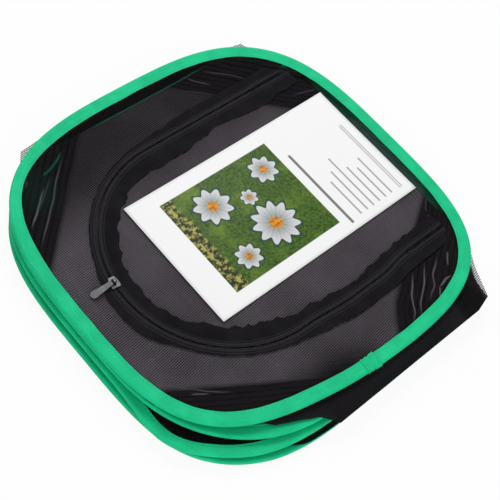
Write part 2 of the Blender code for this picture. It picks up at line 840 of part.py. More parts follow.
def make_pull_tab(body):
    """A flat tab with a barrel eye on the bail and a dimple in its round end."""
    tab = as_mesh(flat_piece("pull_tab", [tab_outline()], TAB_THICKNESS))
    eye = cylinder_mesh("tab_eye", BAIL_RADIUS + CLEARANCE + EYE_WALL, EYE_LENGTH)
    bore = cylinder_mesh("tab_bore", BAIL_RADIUS + CLEARANCE, EYE_LENGTH + OVERRUN)
    for piece in (eye, bore):
        piece.rotation_euler = (math.pi / 2, 0, 0)
        piece.parent = tab
    dimple = cylinder_mesh("tab_dimple", TAB_DIMPLE_RADIUS, TAB_DIMPLE_DEPTH * 2)
    dimple.parent = tab
    dimple.location = (TAB_LENGTH - TAB_TIP_WIDTH / 2, 0, TAB_THICKNESS / 2)
    join(tab, eye)
    join(tab, bore, "DIFFERENCE")
    join(tab, dimple, "DIFFERENCE")
    place = slider_place() + Vector((0, 0, bail_height()))
    put(tab, body, place)
    tab.rotation_euler = (0, math.radians(TAB_DROP_ANGLE), math.radians(SLIDER_ANGLE))
    return paint(tab, GUNMETAL, 0.35, 1.0)


# Door and leaflet


def make_door_netting(body):
    """The flap inside the zip's slot, hinged at its right edge."""
    outline = door_side(-SLOT_HALF_WIDTH, -HINGE_LINE_GAP / 2)
    obj = flat_piece("door_netting", [outline], NETTING_THICKNESS)
    put(obj, body, track_centre() + Vector((0, 0, LOW["netting_1"] + NETTING_THICKNESS / 2)))
    return paint(obj, NETTING, 0.85)


def make_leaflet(body):
    left = leaflet_left()
    width = hinge_line() - LEAFLET_TO_HINGE - left
    obj = box_mesh("leaflet", Vector((width, LEAFLET_DEPTH, LEAFLET_THICKNESS)))
    low = LOW["netting_1"] + NETTING_THICKNESS + CLEARANCE
    middle = (left + width / 2, LEAFLET_MIDDLE_Y, low + LEAFLET_THICKNESS / 2)
    put(obj, body, middle)
    return paint(obj, PAPER, 0.4)


def make_bodies():
    """One empty for each body, on its joint's axis, in the tree in which the joints run."""
    body = {"panel_4": empty("body_panel_4", ORIGIN)}
    body["panel_3"] = empty("body_panel_3", AXIS_3_4, body["panel_4"])
    body["panel_2"] = empty("body_panel_2", AXIS_2_3, body["panel_3"])
    body["panel_1"] = empty("body_panel_1", AXIS_1_2, body["panel_2"])
    body["back_cloth"] = empty("body_back_cloth", axis_back(), body["panel_4"])
    body["front_cloth"] = empty("body_front_cloth", axis_front(), body["panel_2"])
    body["door"] = empty("body_door", axis_door(), body["panel_1"])
    body["slider"] = empty("body_slider", track_centre(), body["panel_1"])
    tab_axis = slider_place() + Vector((0, 0, bail_height()))
    body["pull_tab"] = empty("body_pull_tab", tab_axis, body["slider"])
    body["leaflet"] = empty("body_leaflet", Vector((leaflet_left(), LEAFLET_MIDDLE_Y, 0)), body["door"])
    return body


def main():
    clear_scene()
    new_collection(COLLECTION)
    new_collection(CUTTERS)
    body = make_bodies()
    for panel in PANELS:
        make_panel(panel, body[f"panel_{panel}"])
    make_binding_end(body["panel_1"])
    make_left_seam("seam_3_4", 3, 4, LOW["back_cloth"], body["panel_4"])
    make_left_seam("seam_1_2", 1, 2, LOW["front_cloth"], body["panel_2"])
    make_inner_seam(body["panel_3"])
    make_outer_seam(body["panel_4"])
    make_front_cloth(body["front_cloth"])
    make_back_cloth(body["back_cloth"])
    make_tape("outer_zip_tape", 1, body["panel_1"])
    make_coil("outer_coil", 1, body["panel_1"])
    make_stop("end_stop_upper", 1, body["panel_1"])
    make_stop("end_stop_lower", -1, body["panel_1"])
    make_tape("inner_zip_tape", -1, body["door"])
    make_coil("inner_coil", -1, body["door"])
    make_slider(body["slider"])
    make_pull_tab(body["pull_tab"])
    make_door_netting(body["door"])
    make_leaflet(body["leaflet"])
    bpy.context.view_layer.update()


main()
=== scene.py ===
"""Dresses the folded insect cage: tape, netting, zip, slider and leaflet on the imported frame."""

import math

import bmesh
import bpy
from bpy.props import FloatProperty, FloatVectorProperty, IntProperty, PointerProperty
from mathutils import Matrix, Vector, noise


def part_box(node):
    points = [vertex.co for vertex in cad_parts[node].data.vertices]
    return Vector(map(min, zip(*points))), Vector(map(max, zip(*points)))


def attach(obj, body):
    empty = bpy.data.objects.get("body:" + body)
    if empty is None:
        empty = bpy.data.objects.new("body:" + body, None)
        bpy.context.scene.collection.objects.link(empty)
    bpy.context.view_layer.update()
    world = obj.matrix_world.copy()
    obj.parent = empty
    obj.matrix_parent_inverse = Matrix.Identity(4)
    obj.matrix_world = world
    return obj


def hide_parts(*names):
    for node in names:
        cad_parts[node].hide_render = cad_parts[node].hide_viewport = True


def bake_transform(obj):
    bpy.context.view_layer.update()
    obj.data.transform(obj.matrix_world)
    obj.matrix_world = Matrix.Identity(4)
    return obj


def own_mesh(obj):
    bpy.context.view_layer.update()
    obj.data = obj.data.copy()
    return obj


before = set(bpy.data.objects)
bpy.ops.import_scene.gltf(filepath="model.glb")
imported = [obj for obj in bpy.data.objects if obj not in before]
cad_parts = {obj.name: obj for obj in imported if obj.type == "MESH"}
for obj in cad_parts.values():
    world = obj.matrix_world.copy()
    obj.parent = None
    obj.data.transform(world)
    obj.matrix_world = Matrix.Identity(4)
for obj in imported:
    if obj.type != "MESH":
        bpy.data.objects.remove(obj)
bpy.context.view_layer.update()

bl_info = {
    "name": "Folded insect cage",
    "version": (1, 0, 0),
    "blender": (4, 5, 0),
    "location": "3D View > Sidebar > Insect cage",
    "description": "Dresses a folded insect cage with tape, netting, a zip and a leaflet",
    "category": "Object",
}

PANELS = (1, 2, 3, 4)

# Right back, left back, left front and right front corner of each hoop, as superellipse powers
CORNER_POWERS = {
    1: (3.1, 3.1, 3.1, 3.7),
    2: (3.3, 3.3, 3.45, 3.4),
    3: (3.3, 3.3, 3.5, 3.4),
    4: (3.3, 3.3, 3.6, 3.4),
}
# How each hoop strays beside its left front corner: share, angle and spread in degrees
DRAWN_IN = {
    1: (0.052, 240.0, 24.0),
    2: (0.037, 223.0, 17.0),
    3: (-0.040, 210.0, 9.5),
    4: (0.014, 226.0, 12.0),
}

# Where a hoop's tape is sewn narrower: share, angle and spread in degrees
SLIMMED = {1: (0.20, 135.0, 13.0), 3: (0.20, 214.0, 24.0)}

# Binding tape's fold from its inner edge to the rim, as inset and height in metres
TAPE_FOLD = (
    (0.01030, 0.00258), (0.01005, 0.00276), (0.00955, 0.00284), (0.00905, 0.00282), (0.00880, 0.00268),
    (0.00855, 0.00284), (0.00780, 0.00294), (0.00680, 0.00308), (0.00570, 0.00322), (0.00460, 0.00340),
    (0.00350, 0.00360), (0.00260, 0.00375), (0.00180, 0.00380), (0.00110, 0.00368), (0.00050, 0.00330),
    (0.00014, 0.00270), (0.00000, 0.00190),
)
FOLD_HEIGHT = 0.0038
STITCH_INSET = 0.0088
STITCH_HEIGHT = 0.00276
# The tape laid flat: once round the hoop, and from edge to edge
TAPE_LENGTH = 1.045
TAPE_WIDTH = 0.024
# The folded tape end, flat
TAPE_END_WIDTH = 0.025

# How deep the netting's edge is sewn into the tape, and how many points are taken round it
NETTING_INSET = 0.0033
RIM_POINTS = 480
# From point to point along a sheet's rim
SHEET_STEP = 0.003

# From the zip's line to a tape's edge, and the outer tape's reach from there to its ends
ZIP_GAP = 0.0005
ZIP_TAPE_WIDTH = 0.012
# How far in from hoop 1's edge the outer tape ends, and how far the zip's lower arm bows
ZIP_END_INSET = 0.0109
ZIP_BOW = 0.0032

# How far each zip tape reaches from the coil's line: share of its length and width in metres
OUTER_TAPE_REACH = (
    (0.00, 0.0120), (0.14, 0.0117), (0.18, 0.0113), (0.21, 0.0095), (0.25, 0.0075), (0.28, 0.0064),
    (0.31, 0.0058), (0.36, 0.0055), (0.41, 0.0055), (0.44, 0.0058), (0.47, 0.0074), (0.49, 0.0098),
    (0.53, 0.0114), (0.55, 0.0115), (0.565, 0.0095), (0.58, 0.0070), (0.60, 0.0060), (0.625, 0.0064),
    (0.66, 0.0057), (0.70, 0.0060), (0.733, 0.0072), (0.75, 0.0090), (0.776, 0.0118), (0.81, 0.0130),
    (0.85, 0.0132), (0.90, 0.0130), (1.00, 0.0120),
)
INNER_TAPE_REACH = (
    (0.00, 0.0140), (0.05, 0.0160), (0.10, 0.0155), (0.14, 0.0130), (0.18, 0.0145), (0.21, 0.0168),
    (0.25, 0.0172), (0.28, 0.0168), (0.32, 0.0156), (0.35, 0.0154), (0.40, 0.0146), (0.455, 0.0141),
    (0.48, 0.0125), (0.50, 0.0135), (0.52, 0.0124), (0.54, 0.0136), (0.565, 0.0132), (0.60, 0.0158),
    (0.615, 0.0172), (0.63, 0.0162), (0.67, 0.0168), (0.705, 0.0176), (0.735, 0.0152), (0.755, 0.0125),
    (0.79, 0.0112), (0.83, 0.0106), (0.88, 0.0108), (0.94, 0.0115), (1.00, 0.0120),
)

# The top and the lowest netting show thin pleats in their corners with painted highlights: both ends of
# each from the hoop's centre, and the brightness of its painted highlight
OUTER_LAYERS = (1, 4)
LIT_PLEATS = (
    (-0.103, 0.102, -0.129, 0.079, 0.85), (-0.078, 0.115, -0.133, 0.063, 0.45),
    (-0.094, 0.107, -0.117, 0.088, 0.30), (-0.109, 0.113, -0.114, 0.109, 0.35),
    (0.066, 0.124, 0.094, 0.098, 0.25), (0.035, 0.123, 0.064, 0.097, 0.25),
    (0.050, 0.125, 0.063, 0.110, 0.35), (0.113, 0.067, 0.136, 0.062, 0.25),
    (0.076, -0.106, 0.045, -0.134, 0.65), (0.090, -0.107, 0.053, -0.133, 0.65),
    (0.101, -0.108, 0.069, -0.130, 0.50), (0.097, -0.124, 0.083, -0.125, 0.85),
    (0.083, -0.125, 0.077, -0.133, 0.65), (0.112, -0.109, 0.102, -0.117, 0.60),
    (0.125, -0.076, 0.114, -0.082, 0.55), (-0.129, -0.069, -0.096, -0.096, 0.40),
    (-0.120, -0.082, -0.109, -0.088, 0.50), (-0.127, -0.067, -0.111, -0.080, 0.30),
)

# The front cloth's left and right ends past the hoops, from the top hoop's centre
FRONT_LEFT_END = (
    (-0.0995, -0.1180), (-0.0877, -0.1309), (-0.0717, -0.1385), (-0.0597, -0.1448), (-0.0545, -0.1500),
    (-0.0480, -0.1561),
)
FRONT_RIGHT_END = ((0.0985, -0.1561), (0.1128, -0.1524), (0.1160, -0.1460))

# Which way each netting stands off towards the clear side of its layer, and its turn in radians
CLEAR_SIDE = {1: 1.0, 2: -1.0, 3: 1.0, 4: -1.0}
LAYER_TURN = {1: 0.12, 2: -0.10, 3: 0.04, 4: 0.21}

# The tape's green as it shows through or beside black netting
GREEN_SHADE = (0.003, 0.024, 0.017, 1)
GREEN_PATCH = (0.005, 0.050, 0.036, 1)
GREEN_CURVE = (0.005, 0.075, 0.045, 1)
GREEN_LINE = (0.006, 0.075, 0.045, 1)
GREEN_STRIP = ((0.003, 0.030, 0.017, 1), (0.010, 0.070, 0.042, 1))

# Where the two lamps stand, and how wide they are
KEY_LAMP = ((0.62, 0.86, 1.25), 0.9)
FILL_LAMP = ((-0.70, -0.95, 0.55), 1.1)


# Outlines


def smooth_step(value, low, high):
    """Zero at low and one at high, or the other way round where low is the higher."""
    share = min(1.0, max(0.0, (value - low) / (high - low)))
    return share * share * (3 - 2 * share)


def bell(value, middle, spread):
    """One at the middle, falling off on both sides."""
    away = (value - middle) / spread
    return math.exp(-away * away)


def along_table(table, share):
    """The value of a table of shares and values at a share."""
    for here, after in zip(table, table[1:]):
        if share <= after[0]:
            blend = smooth_step(share, here[0], after[0])
            return here[1] + (after[1] - here[1]) * blend
    return table[-1][1]


class Hoop:
    """One hoop's outline, laid where its packed binding is."""

    def __init__(self, number):
        low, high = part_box("binding_4")
        self.number = number
        self.half = ((high - low) / 2).to_2d()
        low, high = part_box(f"binding_{number}")
        self.centre = high.to_2d() - self.half
        self.low = low.z
        self.middle = low.z + FOLD_HEIGHT / 2

    def rim(self, turn):
        """A point on the outer edge, from the hoop's centre, at an angle in radians."""
        turn = turn % math.tau
        power = CORNER_POWERS[self.number][min(3, int(turn / (math.pi / 2)))]
        across = abs(math.cos(turn)) / self.half.x
        along = abs(math.sin(turn)) / self.half.y
        reach = (across**power + along**power) ** (-1 / power)
        share, angle, spread = DRAWN_IN[self.number]
        reach *= 1 - share * bell(math.degrees(turn), angle, spread)
        return Vector((math.cos(turn), math.sin(turn))) * reach

    def spot(self, turn, inset):
        """A point moved inward from the outer edge, in the frame."""
        step = math.tau / 192
        tangent = (self.rim(turn + step) - self.rim(turn - step)).normalized()
        inward = Vector((-tangent.y, tangent.x))
        return self.centre + self.rim(turn) + inward * inset

    def slim(self, turn):
        """The share of the tape's width that is left at an angle in radians."""
        share, angle, spread = SLIMMED.get(self.number, (0.0, 0.0, 1.0))
        return 1 - share * bell(math.degrees(turn % math.tau), angle, spread)

    def outline(self, inset, count=360):
        """The outer edge moved inward, as points in turn from the right."""
        return [self.spot(math.tau * i / count, inset) for i in range(count)]

    def gap(self, point):
        """About how far inside the outer edge a point lies."""
        away = point - self.centre
        if away.length < 0.001:
            return self.half.y
        return self.rim(math.atan2(away.y, away.x)).length - away.length

    def corner(self, point):
        """How deep in a corner a point lies, about 0.8 at the hoop, and its place across the corner."""
        across = abs(point.x - self.centre.x) / self.half.x
        along = abs(point.y - self.centre.y) / self.half.y
        return (across + along) / 2, across - along

    def right_edge(self, along, inset):
        """Where the hoop's right side lies at a place along Y."""
        line = [p for p in self.outline(inset) if p.x > self.centre.x]
        return min(line, key=lambda p: abs(p.y - along)).x


class Track:
    """The zip's line: an arm from the right, a half circle at the left, and an arm back."""

    def __init__(self):
        low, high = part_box("outer_zip_tape")
        self.radius = (high.y - low.y) / 2 - ZIP_TAPE_WIDTH
        self.centre = Vector((low.x + self.radius + ZIP_TAPE_WIDTH, (low.y + high.y) / 2))
        self.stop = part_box("end_stop_lower")[0].x - self.centre.x

    def bow(self, away):
        """How far the lower arm bows outward between the slider's last place and its stop."""
        ends = smooth_step(away, self.stop - 0.03, self.stop - 0.004)
        return ZIP_BOW * smooth_step(away, 0.0, 0.045) * (1 - ends)

    def spot(self, share, offset, right):
        """A point on the line: a quarter of the shares for each arm and half for the arc."""
        radius = self.radius + offset
        if 0.25 <= share <= 0.75:
            turn = math.pi / 2 + math.tau * (share - 0.25)
            return self.centre + Vector((math.cos(turn), math.sin(turn))) * radius
        side = 1 if share < 0.5 else -1
        out = 1 - min(share, 1 - share) / 0.25
        away = (right - self.centre.x) * out
        if side < 0:
            radius += self.bow(away)
        return Vector((self.centre.x + away, self.centre.y + side * radius))

    def gap(self, point):
        """How far outside the outer tape a point lies."""
        away = point - self.centre
        reach = away.length if away.x < 0 else abs(away.y)
        return reach - self.radius - ZIP_TAPE_WIDTH


HOOPS = {number: Hoop(number) for number in PANELS}
TRACK = Track()


def level_of(node):
    """The height of the middle of a flat CAD sheet."""
    low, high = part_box(node)
    return (low.z + high.z) / 2


def node_outline(node):
    """The outline of a flat CAD sheet seen from above, in turn round its middle."""
    spots = {(round(v.co.x, 5), round(v.co.y, 5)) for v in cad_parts[node].data.vertices}
    low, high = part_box(node)
    middle = (low + high) / 2
    return [Vector(p) for p in sorted(spots, key=lambda p: math.atan2(p[1] - middle.y, p[0] - middle.x))]


def stepped(outline):
    """The same outline with a point at every step, its corners kept."""
    line = []
    for here, after in zip(outline, outline[1:] + outline[:1]):
        parts = max(1, round((after - here).length / SHEET_STEP))
        line.extend(here.lerp(after, i / parts) for i in range(parts))
    return line


def reach(outline, middle, heading):
    """How far an outline lies from a point inside it, in one heading."""
    for here, after in zip(outline, outline[1:] + outline[:1]):
        side = after - here
        away = here - middle
        turn = heading.x * side.y - heading.y * side.x
        if abs(turn) < 1e-12:
            continue
        back_shade = (away.x * side.y - away.y * side.x) / turn
        share = (away.x * heading.y - away.y * heading.x) / turn
        if back_shade > 0 and -1e-6 <= share <= 1 + 1e-6:
            return back_shade
    return 0.0


# Meshes


def as_piece(name, bm, finish, body=None, node=None):
    """Turns a bmesh into a piece that rides on a body and stands for a CAD node."""
    mesh = bpy.data.meshes.new(name)
    bm.to_mesh(mesh)
    bm.free()
    mesh.shade_smooth()
    mesh.materials.append(finish)
    piece = bpy.data.objects.new(name, mesh)
    bpy.context.scene.collection.objects.link(piece)
    if body:
        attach(piece, body)
    if node:
        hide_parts(node)
    return piece


def refinish(finish, *names):
    """Gives CAD nodes, which keep their shape, a better finish."""
    for name in names:
        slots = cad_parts[name].data.materials
        slots.clear()
        slots.append(finish)


def laid_grid(columns, rows, place, chart, closed=False):
    """A grid laid in space by place() and on the weave's map by chart(), both from two shares."""
    bm = bmesh.new()
    bmesh.ops.create_grid(bm, x_segments=columns, y_segments=rows, size=0.5)
    weave = bm.loops.layers.uv.new("weave")
    for face in bm.faces:
        for corner in face.loops:
            corner[weave].uv = chart(corner.vert.co.x + 0.5, corner.vert.co.y + 0.5)
    for vert in bm.verts:
        vert.co = place(vert.co.x + 0.5, vert.co.y + 0.5)
    if closed:
        bmesh.ops.remove_doubles(bm, verts=bm.verts, dist=0.000002)
    return bm


def thicken(piece, thickness, offset=-1.0):
    """Gives a sheet its wall."""
    wall = piece.modifiers.new("wall", "SOLIDIFY")
    wall.thickness = thickness
    wall.offset = offset
    wall.use_even_offset = False
    return piece


def soften(piece, width):
    """Rounds a metal piece's edges."""
    piece.data.set_sharp_from_angle(angle=math.radians(40))
    edges = piece.modifiers.new("edges", "BEVEL")
    edges.width = width
    edges.segments = 2
    edges.limit_method = "ANGLE"


def new_points(made):
    """The points that an extrusion has made."""
    return [part for part in made["geom"] if isinstance(part, bmesh.types.BMVert)]


def mark_gather(bm, gather):
    """Writes how closely the netting lies gathered at each point, from 0 to 1."""
    layer = bm.verts.layers.float.new("gather")
    for vert in bm.verts:
        vert[layer] = gather(vert.co.to_2d())


# Materials


def math_node(operation, reflected=False):
    """A method that adds one Math node, which has its own value first, or last where it is reflected."""

    def method(self, *others):
        values = (*others, self) if reflected else (self, *others)
        return self.finish.node("ShaderNodeMath", {"operation": operation}, dict(enumerate(values)))

    return method


class Value:
    """A number or vector inside a material, which plain sums can be written with."""

    def __init__(self, finish, socket):
        self.finish = finish
        self.socket = socket

    __add__ = __radd__ = math_node("ADD")
    __sub__ = math_node("SUBTRACT")
    __rsub__ = math_node("SUBTRACT", reflected=True)
    __mul__ = __rmul__ = math_node("MULTIPLY")
    __truediv__ = math_node("DIVIDE")
    __rtruediv__ = math_node("DIVIDE", reflected=True)
    __gt__ = math_node("GREATER_THAN")
    __lt__ = math_node("LESS_THAN")
    __abs__ = math_node("ABSOLUTE")
    higher = math_node("MAXIMUM")
    lower = math_node("MINIMUM")
    fraction = math_node("FRACT")
    root = math_node("SQRT")
    cosine = math_node("COSINE")
    turn_from = math_node("ARCTAN2")

    def step(self, low, high):
        """Zero below low and one above high, or the other way round where low is the higher."""
        ends = {"Value": self, "From Min": low, "From Max": high}
        return self.finish.node("ShaderNodeMapRange", {"interpolation_type": "SMOOTHSTEP"}, ends)

    def line(self, pitch, width):
        """One on the middle line of every pitch, falling to zero at half the width."""
        away = abs((self / pitch).fraction() - 0.5) * pitch
        return away.step(width * 0.6, width * 0.4)


class Finish:
    """Builds one material, or the world, from nodes."""

    def __init__(self, name, settings, world=False):
        self.owner = bpy.data.worlds.new(name) if world else bpy.data.materials.new(name)
        self.owner.use_nodes = True
        self.tree = self.owner.node_tree
        self.shader = self.tree.nodes["Background" if world else "Principled BSDF"]
        for socket, value in settings.items():
            self.feed(socket, value)

    def node(self, kind, settings=None, values=None, output=0):
        made = self.tree.nodes.new(kind)
        for name, setting in (settings or {}).items():
            setattr(made, name, setting)
        for name, value in (values or {}).items():
            self.link(made.inputs[name], value)
        return Value(self, made.outputs[output])

    def link(self, socket, value):
        if isinstance(value, Value):
            self.tree.links.new(value.socket, socket)
        else:
            socket.default_value = value

    def feed(self, socket, value):
        self.link(self.shader.inputs[socket], value)

    def mix(self, factor, first, second):
        return self.node("ShaderNodeMix", {"data_type": "RGBA"}, {0: factor, 6: first, 7: second}, 2)

    def split(self, vector):
        outputs = self.node("ShaderNodeSeparateXYZ", None, {0: vector}).socket.node.outputs
        return [Value(self, output) for output in outputs]

    def join(self, x, y, z=0.0):
        return self.node("ShaderNodeCombineXYZ", None, {0: x, 1: y, 2: z})

    def weave(self):
        """Where a point lies on the cloth, in metres."""
        return self.split(self.node("ShaderNodeUVMap", {"uv_map": "weave"}))[:2]

    def place(self):
        return self.node("ShaderNodeTexCoord", None, None, "Object")

    def attribute(self, name):
        return self.node("ShaderNodeAttribute", {"attribute_name": name}, None, "Fac")

    def noise(self, vector, scale, detail=2.0, roughness=0.5):
        values = {"Vector": vector, "Scale": scale, "Detail": detail, "Roughness": roughness}
        return self.node("ShaderNodeTexNoise", None, values)

    def bump(self, height, strength, distance):
        values = {"Strength": strength, "Distance": distance, "Height": height}
        self.feed("Normal", self.node("ShaderNodeBump", None, values))


def colour(rgb, share=1.0):
    """A colour with its alpha, made lighter or darker."""
    return (rgb[0] * share, rgb[1] * share, rgb[2] * share, 1.0)


def green_tape(name, rgb):
    """Woven binding tape: fine ribs across it, a seam beside each edge with painted shade in its groove,
    and small shifts of colour with painted shade on the creases.
    """
    made = Finish(name, {"Roughness": 0.62, "Specular IOR Level": 0.16})
    along, across = made.weave()
    ribs = along.line(0.0006, 0.0006) * 0.6 + across.line(0.0005, 0.0005) * 0.4
    cloud = made.noise(made.join(along, across), 45.0, 3.0)
    creases = made.noise(made.join(along * 90, across * 420), 1.0, 3.0, 0.6)
    # The creases also lighten and darken the colour: painted light and shade along them
    shade = cloud.step(0.3, 0.7) * 0.5 + creases.step(0.35, 0.7) * 0.3 + ribs * 0.2
    # Painted shade: a darker line in the sewn groove beside each edge
    sewn_groove_shade = [abs(across - edge).step(0.0007, 0.0002) for edge in (0.0033, TAPE_WIDTH - 0.0033)]
    base = made.mix(shade, colour(rgb, 0.82), colour(rgb, 1.12))
    made.feed("Base Color", made.mix(sewn_groove_shade[0].higher(sewn_groove_shade[1]) * 0.30, base, colour(rgb, 0.45)))
    made.feed("Roughness", 0.70 - shade * 0.16)
    made.bump(ribs * 0.25 + creases * 0.75, 0.35, 0.0006)
    return made.owner


def lit_pleat_lines(along, across, stray):
    """Painted highlights on thin pleats, each along its own short line and strongest at its start."""
    lit_pleats = along * 0.0
    for start_x, start_y, end_x, end_y, strength in LIT_PLEATS:
        reach_x, reach_y = end_x - start_x, end_y - start_y
        length = math.hypot(reach_x, reach_y)
        off_x, off_y = along - start_x, across - start_y
        run = (off_x * reach_x + off_y * reach_y) / length**2
        off = abs((off_x * reach_y - off_y * reach_x) / length + stray)
        pleat = off.step(0.0010, 0.0001) * run.step(-0.08, 0.25) * run.step(1.08, 0.70)
        lit_pleats = lit_pleats.higher(pleat * strength)
    return lit_pleats


def gathered_corners(made, along, across, layer):
    """Painted shade in a panel's gathered corners, with painted light and shade on the creases and pleats.
    """
    side_x = abs(along) / HOOPS[1].half.x
    side_y = abs(across) / HOOPS[1].half.y
    depth = (side_x + side_y) * 0.5
    chord = side_x - side_y
    right = along > 0
    back = across > 0
    front_left = (1 - right) * (1 - back)
    front_right = right * (1 - back)

    # Each corner is painted dark as shade from its own depth on
    begins = 0.620 - right * 0.065 - back * 0.014 - right * back * 0.008
    begins = begins + front_left * chord * 0.115 + front_right * (chord * 0.11 + 0.042).higher(-0.010)
    flat = made.join(along, across)
    inward = depth + (made.noise(flat, 24.0, 2.0) - 0.5) * 0.012 - begins
    front_edge = across.step(-0.104, -0.130) * along.step(0.040, -0.030)
    shaded_folds = inward.step(-0.008, 0.020).higher(front_edge)

    stray = (made.noise(flat, 42.0, 1.0) - 0.5) * (front_right * 0.004 + 0.004)
    lit_pleats = lit_pleat_lines(along, across, stray) if layer in OUTER_LAYERS else inward * 0.0
    # Painted light and shade on the creases: lanes across each corner mixed with noise
    lane = inward + stray * 2 - 0.016
    creases = made.noise(made.join(depth * 60, chord * 3, right), 1.0, 3.0)
    return shaded_folds, lane.line(0.0215, 0.016) * 0.5 + creases * 0.5, lit_pleats


def show_door_panel(made, base, closed, along, across, threads, dark):
    """Green tapes and a drawn edge that show through the door panel's netting, and the back tape's painted
    shadow.
    """
    # A green shade in the left back corner, and the bent edge of a tape beside it
    off_x, off_y = along + 0.110, across - 0.103
    shade = (off_x * off_x + off_y * off_y).root().step(0.026, 0.006)
    base = made.mix(shade * 0.35, base, GREEN_SHADE)
    bent = abs(along * 0.4 - across * 0.92 + 0.1395 + (along + 0.085) * (along + 0.085) * 12)
    curve = bent.step(0.0012, 0.0004) * along.step(-0.098, -0.094) * along.step(-0.073, -0.077)
    base = made.mix(curve * 0.8, base, GREEN_CURVE)
    # Painted shadow of the back tape, with a green line before it, and the strip of the tape under the
    # right side
    back_tape_shadow = across.step(0.1268, 0.1276)
    line = across.step(0.1258, 0.1266) * (1 - back_tape_shadow) * along.step(-0.045, -0.035) * along.step(0.070, 0.055)
    strip = along.step(0.1335, 0.1345) * across.step(-0.085, -0.070) * across.step(0.075, 0.060)
    base = made.mix(back_tape_shadow * 0.96, base, dark)
    base = made.mix(line * 0.8, base, GREEN_LINE)
    base = made.mix(strip * 0.75, base, made.mix(threads, *GREEN_STRIP))
    return base, closed.higher(back_tape_shadow * 0.97).higher(line).higher(strip * 0.9).higher(curve)


def show_front_cloth(made, base, closed, along, across, dark):
    """The front cloth's green edge, and its double folds up to the loose tip at the right."""
    patchy = made.noise(made.join(along, across), 60.0, 3.0).step(0.35, 0.65)
    edge = across.step(-0.1470, -0.1545) * along.step(-0.030, 0.005) * along.step(0.080, 0.055)
    base = made.mix(edge * (patchy * 0.4 + 0.5), base, GREEN_PATCH)
    # Only the last few millimetres of the tip are a single layer
    tip_x, tip_y = FRONT_RIGHT_END[-1]
    inside = ((tip_x - along) * 0.920 + (across - tip_y) * 0.391).step(0.0026, 0.0046)
    doubled = inside * along.step(0.080, 0.090) * across.step(-0.090, -0.100)
    return made.mix(doubled * 0.9, base, dark), closed.higher(doubled * 0.94)


def black_netting(name, settings, turn=0.0, layer=0):
    """Fine square netting, see-through between its threads. A panel's, which has a layer, is pleated in its
    corners, with painted shade and painted pleat highlights there, and painted shade towards the back."""
    if name in bpy.data.materials:
        return bpy.data.materials[name]
    rgb = settings.thread_colour
    made = Finish(name, {"Roughness": 0.65, "Specular IOR Level": 0.02})
    along, across = made.weave()
    gather = made.attribute("gather")
    warp = (along * math.cos(turn) + across * math.sin(turn)).line(settings.pitch, settings.thread)
    weft = (across * math.cos(turn) - along * math.sin(turn)).line(settings.pitch, settings.thread)
    threads = warp.higher(weft)
    cloud = made.noise(made.join(along, across), 14.0, 3.0).step(0.28, 0.72)
    # Painted shade: the netting goes darker and more closed towards the back
    back_shade = across.step(0.045, 0.112)
    light = cloud * 0.35 + weft * 0.50 + warp * 0.15 + 0.08 - back_shade * 0.40
    base = made.mix(light, colour(rgb, 0.26), colour(rgb, 1.90))
    closed = gather
    relief = threads * 0.3
    if layer:
        shaded_folds, creases, lit_pleats = gathered_corners(made, along, across, layer)
        # Painted shade towards the back, darker again on a panel
        base = made.mix(back_shade * 0.45, base, colour(rgb, 0.12))
        # Painted shade: the gathered corners go far darker than the threads, with painted light and shade
        # on the creases
        base = made.mix(shaded_folds * 0.97, base, made.mix(creases, colour(rgb, 0.01), colour(rgb, 0.14)))
        # Painted highlight: the pleats are drawn much lighter than the threads
        base = made.mix(shaded_folds * lit_pleats * 0.9, base, colour(rgb, 2.3))
        closed = gather.higher(shaded_folds * (0.92 + lit_pleats * 0.07)).higher(back_shade * 0.45)
        relief = relief + creases * shaded_folds * 1.2 + lit_pleats * shaded_folds * 1.5
    if layer == 1:
        base, closed = show_door_panel(made, base, closed, along, across, threads, colour(rgb, 0.04))
    elif name == "end_cloth_1":
        base, closed = show_front_cloth(made, base, closed, along, across, colour(rgb, 0.07))
    made.feed("Base Color", made.mix(gather * 0.95, base, colour(rgb, 0.07)))
    made.feed("Alpha", threads.higher(closed).lower(1.0))
    made.bump(relief, 0.5, 0.0006)
    return made.owner


def zip_weave(name, rgb):
    """Zip tape: a close weave with fine ribs along it, and painted highlights on two ridges beside the
    coil.
    """
    made = Finish(name, {"Roughness": 0.8, "Specular IOR Level": 0.02})
    along, across = made.weave()
    ribs = across.line(0.0013, 0.0011)
    weave = along.line(0.0007, 0.0007)
    # Painted highlights: the bead beside the coil and the next ridge are drawn lighter
    beside_coil = abs(across - 0.0011).step(0.0006, 0.0003)
    ridge_highlight = beside_coil.higher(abs(across - 0.0031).step(0.0005, 0.0002) * 0.7)
    cloud = made.noise(made.join(along, across), 60.0, 3.0)
    shade = ribs * 0.45 + cloud.step(0.3, 0.7) * 0.4 + weave * 0.15
    base = made.mix(shade, colour(rgb, 0.35), colour(rgb, 1.9))
    made.feed("Base Color", made.mix(ridge_highlight * 0.75, base, colour(rgb, 4.6)))
    made.bump(ribs * 0.8 + weave * 0.2, 0.6, 0.0005)
    return made.owner


def dark_metal(name, rgb, roughness):
    """Dark plated metal with worn, brighter spots, and painted shade that turns its sides near black."""
    made = Finish(name, {"Metallic": 1.0, "Roughness": roughness})
    place = made.place()
    grain = made.noise(place, 900.0, 4.0)
    wear = made.noise(place, 260.0, 2.0).step(0.5, 0.75)
    # Painted shade: faces turned away from up and down go near black
    tilt = abs(made.split(made.node("ShaderNodeTexCoord", None, None, "Normal"))[2])
    plated = made.mix(wear, colour(rgb, 0.8), colour(rgb, 1.5))
    made.feed("Base Color", made.mix(tilt.step(0.92, 0.72), plated, colour(rgb, 0.06)))
    made.feed("Roughness", roughness + grain * 0.2 - wear * 0.1)
    made.bump(grain, 0.15, 0.0002)
    return made.owner


